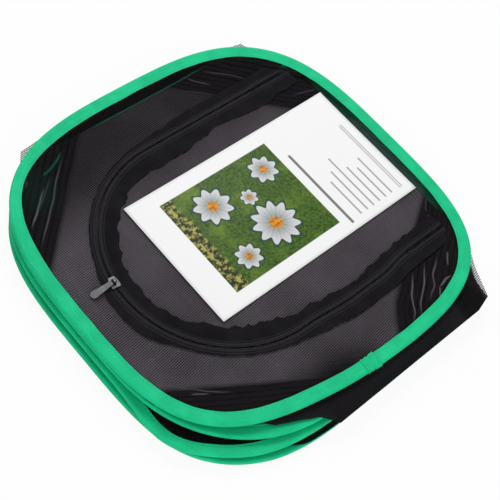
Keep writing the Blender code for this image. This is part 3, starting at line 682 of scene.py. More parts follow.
def coil_plastic(name, rgb):
    """Dull dark plastic with small shifts of gloss."""
    made = Finish(name, {"Roughness": 0.4})
    shade = made.noise(made.place(), 500.0, 2.0)
    made.feed("Base Color", made.mix(shade, colour(rgb, 2.5), colour(rgb, 6.0)))
    made.feed("Roughness", 0.32 + shade * 0.2)
    return made.owner


def printed_card(name, paper):
    """Coated card with a picture of daisies in a meadow and plain bars, and no words."""
    made = Finish(name, {"Roughness": 0.45, "Specular IOR Level": 0.12})
    x, y = made.weave()
    flat = made.join(x, y)

    def box(left, right, low, high, soft=0.0003):
        """One inside a box on the card, in metres from its middle."""
        sides = x.step(left - soft, left + soft) * x.step(right + soft, right - soft)
        return sides * (y.step(low - 0.0003, low + 0.0003) * y.step(high + 0.0003, high - 0.0003))

    grass = made.noise(flat, 420.0, 4.0, 0.7)
    patch = made.noise(flat, 45.0, 3.0)
    blades = made.noise(made.join(x * 900, y * 160), 1.0, 2.0)
    green = made.mix(grass.step(0.3, 0.7), (0.008, 0.032, 0.002, 1), (0.080, 0.170, 0.010, 1))
    green = made.mix(patch.step(0.45, 0.75) * 0.50, green, (0.21, 0.34, 0.02, 1))
    picture = made.mix(blades.step(0.5, 0.8) * 0.4, green, (0.02, 0.07, 0.004, 1))
    leaves = made.noise(flat, 240.0, 3.0, 0.7).step(0.46, 0.6)
    border = (x + (patch - 0.5) * 0.012).step(-0.0640, -0.0680)
    picture = made.mix(border, picture, made.mix(leaves, (0.008, 0.02, 0.004, 1), (0.40, 0.38, 0.08, 1)))
    daisies = (
        (-0.044, 0.021, 0.0155, 9),
        (-0.014, -0.016, 0.0190, 11),
        (0.010, 0.025, 0.0120, 8),
        (-0.050, -0.026, 0.0105, 8),
        (-0.016, 0.012, 0.0070, 7),
    )
    for middle_x, middle_y, size, petals in daisies:
        off_x = x - middle_x
        off_y = y - middle_y
        away = (off_x * off_x + off_y * off_y).root()
        around = off_y.turn_from(off_x) * petals
        lobe = around.cosine()
        rim = (lobe * 0.13 + 0.87) * size
        share = away / rim
        shade = (share.step(0.25, 0.95) * 0.7 + lobe.step(-0.9, -0.2) * 0.3).lower(1.0)
        white = made.mix(shade, (0.20, 0.26, 0.20, 1), (0.66, 0.66, 0.70, 1))
        picture = made.mix(share.step(1.22, 1.06), picture, (0.006, 0.060, 0.030, 1))
        picture = made.mix(share.step(1.03, 0.97), picture, white)
        heart = made.mix(grass.step(0.4, 0.6), (0.42, 0.12, 0.008, 1), (0.80, 0.33, 0.02, 1))
        picture = made.mix(away.step(size * 0.30, size * 0.24), picture, heart)
    inside = box(-0.0770, 0.0268, -0.0434, 0.0428)
    base = made.mix(inside, colour(paper), picture)

    # A heavy bar, six lighter ones and two fine rules stand for the print
    ink = box(0.0343, 0.0367, -0.0496, 0.0236) * 0.80
    for row, end in enumerate((-0.0128, -0.0060, 0.0040, -0.0100, -0.0150, -0.0087)):
        middle = 0.0466 + 0.0068 * row
        ink = ink.higher(box(middle - 0.0007, middle + 0.0007, -0.0473, end) * 0.62)
    for middle in (0.0896, 0.0916):
        ink = ink.higher(box(middle - 0.00028, middle + 0.00028, -0.048, 0.0224, 0.0001) * 0.85)
    made.feed("Base Color", made.mix(ink, base, (0.010, 0.010, 0.014, 1)))
    made.feed("Roughness", 0.45 - inside * 0.12)
    made.bump(made.noise(flat, 1800.0, 2.0), 0.08, 0.0001)
    return made.owner


def steel(name):
    """Drawn wire with fine streaks."""
    made = Finish(name, {"Metallic": 1.0, "Roughness": 0.35, "Base Color": (0.45, 0.46, 0.47, 1)})
    streaks = made.noise(made.place(), 700.0, 3.0)
    made.feed("Roughness", 0.28 + streaks * 0.2)
    return made.owner


# Settings


def number_setting(name, description, default, **kind):
    return FloatProperty(name=name, description=description, default=default, **kind)


def length_setting(name, description, default):
    return number_setting(name, description, default, unit="LENGTH")


def place_setting(name, description, default):
    kind = {"subtype": "TRANSLATION", "unit": "LENGTH"}
    return FloatVectorProperty(name=name, description=description, default=default, **kind)


def colour_setting(name, description, default):
    return FloatVectorProperty(name=name, description=description, default=default, subtype="COLOR")


class StageSettings(bpy.types.PropertyGroup):
    """The floor, lights and camera."""

    camera_place: place_setting("Camera place", "Where the camera stands", (-0.3845, -0.2292, 0.6624))
    camera_aim: place_setting("Camera aim", "Where the camera looks", (-0.0119, -0.0154, 0.0180))
    camera_roll: number_setting(
        "Camera roll",
        "How far the camera is turned about its own line of sight",
        math.radians(21.796),
        subtype="ANGLE",
        unit="ROTATION",
    )
    lens: number_setting("Lens", "Focal length in millimetres", 77.904)
    key_power: number_setting("Key light", "Power of the lamp behind the cage, in watts", 14.5)
    fill_power: number_setting("Fill light", "Power of the lamp in front of the cage, in watts", 7.0)
    sky: number_setting("Sky", "Strength of the light from all round", 0.42)
    floor_glow: number_setting("Floor glow", "Share of plain white in the floor", 0.92, subtype="FACTOR")


class TapeSettings(bpy.types.PropertyGroup):
    """The green binding tape and its stitches."""

    tape_colour: colour_setting("Tape colour", "Colour of the binding tape", (0.006, 0.56, 0.25))
    thread_colour: colour_setting("Stitch colour", "Colour of the stitches", (0.035, 0.62, 0.33))
    wall: length_setting("Tape thickness", "Thickness of the tape", 0.0004)
    wave: length_setting("Tape wave", "How far the tape's inner edge strays", 0.00045)
    stitch_pitch: length_setting("Stitch pitch", "Distance from stitch to stitch", 0.003)
    stitch_length: length_setting("Stitch length", "Length of a stitch", 0.0021)
    end_length: length_setting("Tape end length", "Length of the folded tape end", 0.0120)
    steps: IntProperty(name="Steps", description="Steps round a hoop", default=480)


class NettingSettings(bpy.types.PropertyGroup):
    """The netting panels, the end cloths and the edge seams."""

    thread_colour: colour_setting("Thread colour", "Colour of the netting's threads", (0.070, 0.062, 0.072))
    pitch: length_setting("Netting pitch", "Distance from thread to thread", 0.0015)
    thread: length_setting("Thread width", "Width of a thread", 0.00060)
    rows: IntProperty(name="Rows", description="Rows from the middle of a sheet to its edge", default=60)


class ZipSettings(bpy.types.PropertyGroup):
    """The zip's tapes, coils, slider and pull tab."""

    tape_colour: colour_setting("Zip tape colour", "Colour of the zip's tapes", (0.0080, 0.0074, 0.0088))
    metal_colour: colour_setting("Metal colour", "Colour of the slider and its tab", (0.120, 0.120, 0.126))
    stop_colour: colour_setting("Stop colour", "Colour of the zip's end stops", (0.02, 0.02, 0.022))
    coil_pitch: length_setting("Coil pitch", "Distance from turn to turn of the coil", 0.0013)


class LeafletSettings(bpy.types.PropertyGroup):
    """The loose card on the door."""

    paper: colour_setting("Paper colour", "Colour of the card", (0.93, 0.93, 0.93))
    curl: length_setting("Curl", "How far the card's corners stand up", 0.0007)


# Stage


class CAGE_OT_stage(bpy.types.Operator):
    """Makes the floor, the lights and the camera"""

    bl_idname = "cage.stage"
    bl_label = "Stage"

    def execute(self, context):
        scene = context.scene
        settings = scene.cage_stage
        self.make_floor(settings.floor_glow)
        scene.world = self.make_world(settings.sky)
        self.make_lamp("key_lamp", *KEY_LAMP, settings.key_power)
        self.make_lamp("fill_lamp", *FILL_LAMP, settings.fill_power)
        scene.camera = self.make_camera(settings)
        scene.view_settings.view_transform = "Standard"
        return {"FINISHED"}

    def add(self, name, data):
        made = bpy.data.objects.new(name, data)
        bpy.context.scene.collection.objects.link(made)
        return made

    def make_camera(self, settings):
        data = bpy.data.cameras.new("photo_camera")
        data.lens = settings.lens
        data.sensor_width = 36.0
        place = Vector(settings.camera_place)
        look = (Vector(settings.camera_aim) - place).to_track_quat("-Z", "Y").to_matrix()
        turned = look @ Matrix.Rotation(settings.camera_roll, 3, "Z")
        camera = self.add("photo_camera", data)
        camera.matrix_world = Matrix.Translation(place) @ turned.to_4x4()
        return camera

    def seen(self, made):
        """One for what the camera sees, also in a gloss or through glass."""
        path = made.node("ShaderNodeLightPath", None, None, "Is Camera Ray")
        outputs = path.socket.node.outputs
        glossy = Value(made, outputs["Is Glossy Ray"])
        passed = Value(made, outputs["Is Transmission Ray"])
        return path.higher(glossy).higher(passed)

    def make_floor(self, plain):
        """A floor just under the cage, mostly plain white to the camera and shaded for all else."""
        bm = bmesh.new()
        bmesh.ops.create_grid(bm, x_segments=1, y_segments=1, size=4.0)
        bmesh.ops.translate(bm, verts=bm.verts, vec=(0, 0, -0.0003))
        made = Finish("pale_floor", {"Roughness": 0.9, "Base Color": (0.9, 0.9, 0.9, 1)})
        glow = made.node("ShaderNodeEmission", None, {"Color": (1, 1, 1, 1), "Strength": 1.0})
        parts = {0: self.seen(made) * plain, 1: Value(made, made.shader.outputs[0]), 2: glow}
        mixed = made.node("ShaderNodeMixShader", None, parts)
        made.link(made.tree.nodes["Material Output"].inputs[0], mixed)
        as_piece("floor", bm, made.owner)

    def make_world(self, sky):
        made = Finish("pale_studio", {"Color": (1, 1, 1, 1)}, world=True)
        made.feed("Strength", self.seen(made) * (1 - sky) + sky)
        return made.owner

    def make_lamp(self, name, place, size, power):
        data = bpy.data.lights.new(name, "AREA")
        data.shape = "DISK"
        data.size = size
        data.energy = power
        lamp = self.add(name, data)
        lamp.location = place
        lamp.rotation_mode = "QUATERNION"
        lamp.rotation_quaternion = (-Vector(place)).to_track_quat("-Z", "Y")


# Hoops


class CAGE_OT_hoops(bpy.types.Operator):
    """Gives the hoop wires and their ferrules the finish of drawn steel"""

    bl_idname = "cage.hoops"
    bl_label = "Hoop wires"

    def execute(self, context):
        finish = steel("drawn_steel")
        for number in PANELS:
            refinish(finish, f"hoop_wire_{number}", f"crimp_ferrule_{number}")
        return {"FINISHED"}


class CAGE_OT_bindings(bpy.types.Operator):
    """Folds the green tape round each hoop and sews it"""

    bl_idname = "cage.bindings"
    bl_label = "Bindings"

    def execute(self, context):
        settings = context.scene.cage_tape
        self.finish = green_tape("green_tape", settings.tape_colour)
        self.thread = green_tape("green_thread", settings.thread_colour)
        for number in PANELS:
            stitches = self.make_stitches(HOOPS[number], settings)
            tape = self.make_tape(HOOPS[number], settings)
        end = self.make_end(HOOPS[1], settings)
        return {"FINISHED"}

    def section(self, share):
        """The fold's inset and height, from its upper inner edge round the rim to the lower one."""
        last = len(TAPE_FOLD) - 1
        at = share * last * 2
        mirrored = at > last
        at = last * 2 - at if mirrored else at
        low = min(last - 1, int(at))
        here, after = TAPE_FOLD[low], TAPE_FOLD[low + 1]
        inset = here[0] + (after[0] - here[0]) * (at - low)
        height = here[1] + (after[1] - here[1]) * (at - low)
        return inset, FOLD_HEIGHT - height if mirrored else height

    def stray(self, hoop, turn, inset, height, wave):
        """Small waves that grow from the rim to the inner edge."""
        loose = smooth_step(inset, 0.0035, 0.0100)
        here = Vector((math.cos(turn) * 9, math.sin(turn) * 9, hoop.number * 3.1 + height * 300))
        side = noise.noise(here) * wave * (0.35 + loose)
        lift = abs(noise.noise(here * 1.7 + Vector((5, 2, 9))) * wave * 0.8 * loose)
        return inset + side * 0.5, height + lift * (1 if height > FOLD_HEIGHT / 2 else -0.2)

    def fold(self, name, number, node, columns, place, chart, closed=False):
        """A strip of tape folded round a hoop's wire."""
        bm = laid_grid(columns, (len(TAPE_FOLD) - 1) * 2, place, chart, closed)
        bmesh.ops.reverse_faces(bm, faces=bm.faces)
        return as_piece(name, bm, self.finish, f"panel_{number}", node)

    def make_tape(self, hoop, settings):
        def place(along, across):
            turn = along * math.tau
            inset, height = self.stray(hoop, turn, *self.section(across), settings.wave)
            return Vector((*hoop.spot(turn, inset * hoop.slim(turn)), hoop.low + height))

        def chart(along, across):
            return along * TAPE_LENGTH, across * TAPE_WIDTH

        number = hoop.number
        tape = self.fold(
            f"binding_tape_{number}", number, f"binding_{number}", settings.steps, place, chart, closed=True
        )
        return thicken(tape, settings.wall)

    def make_stitches(self, hoop, settings):
        """A row of short threads on the tape's upper side and one under it."""
        bm = bmesh.new()
        count = round(TAPE_LENGTH / settings.stitch_pitch)
        size = Vector((settings.stitch_length, 0.00038, 0.00024))
        for i in range(count):
            turn = math.tau * i / count
            inset = STITCH_INSET * hoop.slim(turn)
            spot = hoop.spot(turn, inset)
            side = hoop.spot(turn + 0.01, inset) - hoop.spot(turn - 0.01, inset)
            heading = Matrix.Rotation(math.atan2(side.y, side.x), 4, "Z")
            for height in (STITCH_HEIGHT, FOLD_HEIGHT - STITCH_HEIGHT):
                at = Matrix.Translation((*spot, hoop.low + height))
                bmesh.ops.create_cube(bm, size=1.0, matrix=at @ heading @ Matrix.Diagonal((*size, 1)))
        name, body = f"stitching_{hoop.number}", f"panel_{hoop.number}"
        return as_piece(name, bm, self.thread, body)

    def make_end(self, hoop, settings):
        """The tape's folded end, wrapped over its start and flared at its right."""
        middle = math.atan2(-hoop.half.y, -0.034 * hoop.half.x)
        spread = settings.end_length / hoop.half.y / 2

        def place(along, across):
            turn = middle + (along * 2 - 1) * spread
            inset, height = self.section(across)
            flare = 0.00035 + 0.0007 * smooth_step(along, 0.55, 1.0) + 0.0002 * math.sin(along * 19)
            around = (inset - 0.0050) / 0.0053
            notch = 0.0012 * smooth_step(along, 0.9, 1.0) * bell(across, 0.33, 0.05)
            lift = flare if height > FOLD_HEIGHT / 2 else -0.00030
            crease = noise.noise(Vector((along * 7, across * 9, 2))) * 0.00035
            spot = hoop.spot(turn - notch / hoop.half.y, inset + around * flare)
            return Vector((*spot, hoop.low + height + lift + abs(crease) * (lift > 0)))

        def chart(along, across):
            return along * settings.end_length + 0.2, across * TAPE_END_WIDTH

        end = self.fold("binding_tape_end", 1, "binding_end_1", 24, place, chart)
        return thicken(end, settings.wall * 0.8)


# Netting


SHEET_NAMES = {f"netting_{number}": f"netting_sheet_{number}" for number in PANELS} | {
    "door_netting": "door_sheet",
    "front_end_cloth": "front_cloth_sheet",
    "back_end_cloth": "back_cloth_sheet",
}


def not_gathered(point):
    return 0.0


class SheetMaker:
    """What the operators for flat sheets share."""

    def make_sheet(self, context, node, hoop, rim, height, gather, body=None, inner=None, middle=None):
        """A sheet from its middle, or an inner edge, out to its rim. An end cloth gets no body here."""
        settings = context.scene.cage_netting
        number = hoop.number
        middle = middle or hoop.centre

        def spot(share, out):
            at = round(share * len(rim)) % len(rim)
            return (inner[at] if inner else middle).lerp(rim[at], out)

        def place(share, out):
            at = spot(share, out)
            return Vector((*at, height(at)))

        def chart(share, out):
            return spot(share, out) - hoop.centre

        rows = settings.rows // 2 if inner else settings.rows
        bm = laid_grid(len(rim), rows, place, chart, closed=True)
        mark_gather(bm, gather)
        if body:
            finish = black_netting(f"net_threads_{number}", settings, LAYER_TURN[number], number)
            return as_piece(SHEET_NAMES[node], bm, finish, body, node)
        finish = black_netting(f"end_cloth_{number}", settings, LAYER_TURN[number])
        return as_piece(SHEET_NAMES[node], bm, finish, None, node)

    def netting_height(self, hoop, level, point, calm=1.0, flat_from=0.0260):
        """Level in the middle, drawn into the tape's fold at the rim, and pleated in the corners."""
        gap = hoop.gap(point)
        drawn = 1 - smooth_step(gap, 0.0105, flat_from)
        depth, chord = hoop.corner(point)
        corner = 1.7 * (point.x > hoop.centre.x) + 4.1 * (point.y > hoop.centre.y)
        free = smooth_step(gap, 0.0090, 0.0150) * smooth_step(depth, 0.58, 0.66) * calm
        pleat = noise.noise(Vector((depth * 52, chord * 3.0 + corner, hoop.number * 2.3)))
        wave = noise.noise(Vector((point.x * 26, point.y * 26, hoop.number)))
        lift = free * (0.0006 + 0.0013 * pleat) + 0.00018 * abs(wave) * smooth_step(gap, 0.012, 0.03) * calm
        return level + (hoop.middle - level) * drawn + CLEAR_SIDE[hoop.number] * max(0.0, lift)


def drape(level, point):
    """The height of a cloth that lies at a level and hangs a little past the hoop under it."""
    return level - 0.0030 * smooth_step(-HOOPS[2].gap(point), 0.0003, 0.0070)


class CAGE_OT_nettings(SheetMaker, bpy.types.Operator):
    """Lays the netting of the four panels and of the door"""

    bl_idname = "cage.nettings"
    bl_label = "Nettings"

    def execute(self, context):
        self.make_top(context)
        self.make_door(context)
        for number in (2, 3, 4):
            self.make_lower(context, number)
        return {"FINISHED"}

    def calm(self, point):
        """Zero under the zip's tapes, where the netting lies flat."""
        return smooth_step(TRACK.gap(point), 0.0005, 0.0070)

    def make_top(self, context):
        hoop = HOOPS[1]
        level = level_of("netting_1")
        rim = stepped(hoop.outline(NETTING_INSET, RIM_POINTS))
        slot = self.slot_outline()
        inner = []
        for point in rim:
            heading = (point - hoop.centre).normalized()
            inner.append(hoop.centre + heading * reach(slot, hoop.centre, heading))

        def height(point):
            beside_hinge = smooth_step(point.x, 0.112, 0.130)
            beside_hinge *= smooth_step(abs(point.y - TRACK.centre.y), 0.090, 0.076)
            calm = self.calm(point) * (1 - beside_hinge)
            return self.netting_height(hoop, level, point, calm, 0.0260 - 0.0137 * beside_hinge)

        piece = self.make_sheet(context, "netting_1", hoop, rim, height, not_gathered, "panel_1", inner)

    def slot_outline(self):
        """The opening in panel 1: round the zip, past the door's cut corners and along its hinge line."""
        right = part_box("door_netting")[1].x + 0.0006
        arm = right - 0.0082
        half = TRACK.radius - 0.0245
        line = [TRACK.spot(0.25 + i / 96, 0.0043, arm) for i in range(49)]
        above = [(arm, TRACK.radius + 0.005), (arm, half + 0.0075), (right, half)]
        below = [(x, -y) for x, y in above]
        return line + [Vector((x, TRACK.centre.y + y)) for x, y in below + above[::-1]]

    def make_door(self, context):
        level = level_of("door_netting")
        rim = stepped(node_outline("door_netting"))
        middle = Vector((0.03, TRACK.centre.y))

        def height(point):
            return level + 0.00008 * abs(noise.noise(Vector((point.x * 22, point.y * 22, 4.0))))

        shape = (HOOPS[1], rim, height, not_gathered)
        piece = self.make_sheet(context, "door_netting", *shape, "door", middle=middle)

    def make_lower(self, context, number):
        hoop = HOOPS[number]
        level = level_of(f"netting_{number}")
        rims = {2: self.tabbed_rim, 3: self.slipped_rim}
        rim = rims[number](hoop) if number in rims else hoop.outline(NETTING_INSET, RIM_POINTS)

        def height(point):
            past_tape = hoop.gap(point) < NETTING_INSET
            if number == 2 and past_tape:
                return drape(level, point)
            if number == 3 and past_tape:
                return level - 0.0004
            return self.netting_height(hoop, level, point)

        def gather(point):
            if number == 3:
                # Panel 3's netting goes dark and closed near its front rim: partly gathered netting, partly
                # painted shade between the hoops
                return 0.95 * smooth_step(hoop.gap(point), 0.030, 0.020) * (point.y < hoop.centre.y)
            return 0.92 if number == 2 and hoop.gap(point) < 0.002 else 0.0

        shape = (hoop, stepped(rim), height, gather)
        piece = self.make_sheet(context, f"netting_{number}", *shape, f"panel_{number}")

    def slipped_rim(self, hoop):
        """Panel 3's netting reaches past its tape by the front left corner, partly netting and partly
        painted shade.
        """
        line = []
        for i in range(RIM_POINTS):
            angle = i * 360 / RIM_POINTS
            out = smooth_step(angle, 236, 244) * smooth_step(angle, 268, 258)
            line.append(hoop.spot(math.radians(angle), NETTING_INSET - 0.0068 * out))
        return line

    def tabbed_rim(self, hoop):
        """Panel 2's netting also reaches over the tape to the front cloth's fold."""
        tab = sorted((p for p in node_outline("netting_2") if hoop.gap(p) < 0.0018), key=lambda p: p.x)
        tip = [HOOPS[1].centre + Vector(end) for end in FRONT_RIGHT_END[:2]]
        rim = hoop.outline(NETTING_INSET, RIM_POINTS)
        under = [i for i, p in enumerate(rim) if p.y < 0 and tab[0].x < p.x < tab[-1].x]
        return rim[: under[0]] + tab[:1] + tip + tab[2:] + rim[under[-1] + 1 :]


class CAGE_OT_end_cloths(SheetMaker, bpy.types.Operator):
    """Lays the cloths of the two open ends into the folded stack"""

    bl_idname = "cage.end_cloths"
    bl_label = "End cloths"

    def execute(self, context):
        self.make_front(context)
        self.make_back(context)
        return {"FINISHED"}

    def make_front(self, context):
        hoop = HOOPS[1]
        level = level_of("front_end_cloth")
        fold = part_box("front_end_cloth")[0].y

        def height(point):
            wave = noise.noise(Vector((point.x * 24, point.y * 60, 7.0)))
            outside = smooth_step(-HOOPS[2].gap(point), -0.001, 0.006)
            return drape(level, point) + 0.00025 * outside * wave

        def gather(point):
            front = smooth_step(hoop.centre.y - point.y, 0.105, 0.128)
            edge = smooth_step(point.x + (point.y - fold) * 0.35, 0.112, 0.120)
            inside = 0.35 * smooth_step(hoop.gap(point), 0.002, 0.02)
            return max(front * (0.94 - 0.85 * edge), inside)

        rim = stepped(self.front_outline(hoop))
        piece = self.make_sheet(context, "front_end_cloth", hoop, rim, height, gather)
        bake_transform(piece)

    def front_outline(self, hoop):
        """The front cloth's outline, with its ends past the hoops as they lie in the picture."""
        line = []
        for point in node_outline("front_end_cloth"):
            away = point - hoop.centre
            if away.y < -0.150:
                ends = FRONT_LEFT_END if away.x < 0 else FRONT_RIGHT_END
                line.extend(hoop.centre + Vector(end) for end in ends)
            elif not (away.y < -0.115 and -0.100 < away.x < 0):
                line.append(point)
        return line

    def make_back(self, context):
        hoop = HOOPS[4]
        level = level_of("back_end_cloth")

        def height(point):
            return level + 0.0001 * noise.noise(Vector((point.x * 24, point.y * 24, 3.0)))

        def gather(point):
            return 0.55 * smooth_step(hoop.gap(point), -0.004, 0.010)

        rim = stepped(node_outline("back_end_cloth"))
        piece = self.make_sheet(context, "back_end_cloth", hoop, rim, height, gather)
        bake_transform(piece)


class CAGE_OT_edge_seams(bpy.types.Operator):
    """Sews the strips of cloth along the folded edges"""

    bl_idname = "cage.edge_seams"
    bl_label = "Edge seams"

    def execute(self, context):
        self.finish = black_netting("seam_cloth", context.scene.cage_netting)
        self.left_seam("seam_1_2", 1, 2, "panel_2", "panel_1")
        self.left_seam("seam_3_4", 3, 4, "panel_4", "panel_3")
        self.inner_right_seam("seam_2_3")
        self.outer_right_seam("seam_4_1")
        return {"FINISHED"}

    def strip(self, node, half, hoops, side, edge, bottom, top, fold, bend):
        """A strip from a lower layer round an edge of the stack to an upper one, along the hoops' side.
        Its fold is a list of insets and rises up to its bend, and the other half mirrors it."""
        upper, lower = (HOOPS[number] for number in hoops)
        outline = [(inset, bottom + rise) for inset, rise in fold]
        outline.append((bend, (bottom + top) / 2))
        outline += [(inset, top - rise) for inset, rise in reversed(fold)]
        rows = len(outline) - 1
        middle = (upper.centre.y + lower.centre.y) / 2

        def place(along, across):
            inset, height = outline[round(across * rows)]
            away = (along * 2 - 1) * half
            rim = upper.rim(math.atan2(away, side * upper.half.x))
            return Vector((edge + rim.x - side * (upper.half.x + inset), middle + away, height))

        def chart(along, across):
            return along * half * 2, across * 0.015

        bm = laid_grid(70, rows, place, chart)
        mark_gather(bm, lambda point: 0.95)
        return as_piece(f"{node}_strip", bm, self.finish, None, node)

    def left_seam(self, node, upper, lower, below, above):
        top = level_of(f"netting_{upper}")
        bottom = level_of(f"netting_{lower}")
        edge = max(HOOPS[upper].centre.x, HOOPS[lower].centre.x) - HOOPS[upper].half.x
        bend = 0.0011
        fold = [(0.0075, 0.0), (0.0050, 0.0), (bend * 1.3, 0.0001)]
        piece = self.strip(node, 0.070, (upper, lower), -1, edge, bottom, top, fold, bend)
        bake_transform(piece)

    def right_strip(self, node, upper, lower):
        """A strip wrapped round the right edge, in the wall that the CAD seam has there."""
        wall = 0.00025
        low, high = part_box(node)
        edge, bottom, top = high.x - wall, low.z + wall, high.z - wall
        fold = [(0.0062, 0.0), (0.0030, 0.0), (0.0008, 0.0003), (0.0, 0.0016)]
        return self.strip(node, 0.065, (upper, lower), 1, edge, bottom, top, fold, 0.0), edge, bottom

    def inner_right_seam(self, node):
        piece, edge, _ = self.right_strip(node, 2, 3)
        # The fold turns between the two middle hoops
        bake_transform(piece)

    def outer_right_seam(self, node):
        piece, edge, bottom = self.right_strip(node, 1, 4)
        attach(piece, "panel_4")
        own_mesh(piece)


# Zip


class CAGE_OT_zip(bpy.types.Operator):
    """Lays the zip's tapes and winds its coils"""

    bl_idname = "cage.zip"
    bl_label = "Zip"

    def execute(self, context):
        settings = context.scene.cage_zip
        self.weave = zip_weave("zip_weave", settings.tape_colour)
        self.plastic = coil_plastic("coil_plastic", settings.tape_colour)
        self.make_tape("outer_zip_woven", 1, "panel_1", "outer_zip_tape")
        self.make_tape("inner_zip_woven", -1, "door", "inner_zip_tape")
        self.make_coil("outer_coil_turns", 1, "panel_1", "outer_coil", settings)
        self.make_coil("inner_coil_turns", -1, "door", "inner_coil", settings)
        refinish(dark_metal("dark_stop", settings.stop_colour, 0.5), "end_stop_upper", "end_stop_lower")
        return {"FINISHED"}

    def make_tape(self, name, side, body, node):
        """The outer tape, with side 1, ends on the hoop's tape, and the inner one at the door's edge."""
        outer = side > 0
        low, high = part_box(node)
        ends = (high.x, high.x)
        if outer:
            arm = TRACK.radius + ZIP_TAPE_WIDTH
            ends = [HOOPS[1].right_edge(TRACK.centre.y + y, ZIP_END_INSET) for y in (arm, -arm)]

        def width(along):
            frays = noise.noise(Vector((along * 150, side * 3, 0.5))) * 0.0006
            if outer:
                return along_table(OUTER_TAPE_REACH, along) + frays
            nicks = abs(noise.noise(Vector((along * 42, side * 7, 0.5))))
            return along_table(INNER_TAPE_REACH, along) - (nicks**0.7 * 0.0042 - 0.0012) + frays

        def place(along, across):
            offset = ZIP_GAP + across * (width(along) - ZIP_GAP)
            spot = TRACK.spot(along, side * offset, ends[0 if along < 0.5 else 1])
            bead = 0.00045 * bell(offset, 0.0026, 0.0007)
            ribs = 0.00014 * math.sin(offset / 0.0013 * math.tau) * smooth_step(offset, 0.0035, 0.0045)
            drop = 0.0 if outer else 0.00048 * smooth_step(offset, 0.0100, 0.0135)
            return Vector((*spot, low.z + 0.0004 + bead + ribs * (1 - drop / 0.0006) - drop))

        def chart(along, across):
            return along * 0.58, across * width(along) - 0.0010

        piece = as_piece(name, laid_grid(420, 36, place, chart), self.weave, body, node)
        thicken(piece, 0.00035, -side)

    def make_coil(self, name, side, body, node, settings):
        """A wire of eight-sided turns along the zip, in the place of the CAD's smooth cord."""
        level = level_of(node)
        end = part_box(node)[1].x
        length = math.pi * TRACK.radius + 2 * (end - TRACK.centre.x)
        arm = (end - TRACK.centre.x) / length
        turns = round(length / settings.coil_pitch)
        steps = 8

        def centre_line(share):
            """The coil's middle at a share of its real length, with its heading outward."""
            if share < arm:
                local = 0.25 * share / arm
            elif share > 1 - arm:
                local = 1 - 0.25 * (1 - share) / arm
            else:
                local = 0.25 + 0.5 * (share - arm) / (1 - 2 * arm)
            spot = TRACK.spot(local, side * 0.0012, end)
            out = TRACK.spot(local, side * 0.0022, end) - spot
            return spot, out.normalized() * side

        def place(along, around):
            spot, out = centre_line(along)
            turn = along * turns * math.tau
            wire = around * math.tau
            back_shade = 0.00042 + 0.00017 * math.cos(wire)
            ahead = Vector((-out.y, out.x)) * 0.00017 * math.sin(wire)
            flat = spot + out * math.cos(turn) * back_shade + ahead
            return Vector((*flat, level + math.sin(turn) * back_shade))

        def chart(along, around):
            return along * length, around * 0.001

        bm = laid_grid(turns * steps, 4, place, chart, closed=True)
        bmesh.ops.holes_fill(bm, edges=bm.edges, sides=8)
        bmesh.ops.recalc_face_normals(bm, faces=bm.faces)
        as_piece(name, bm, self.plastic, body, node)


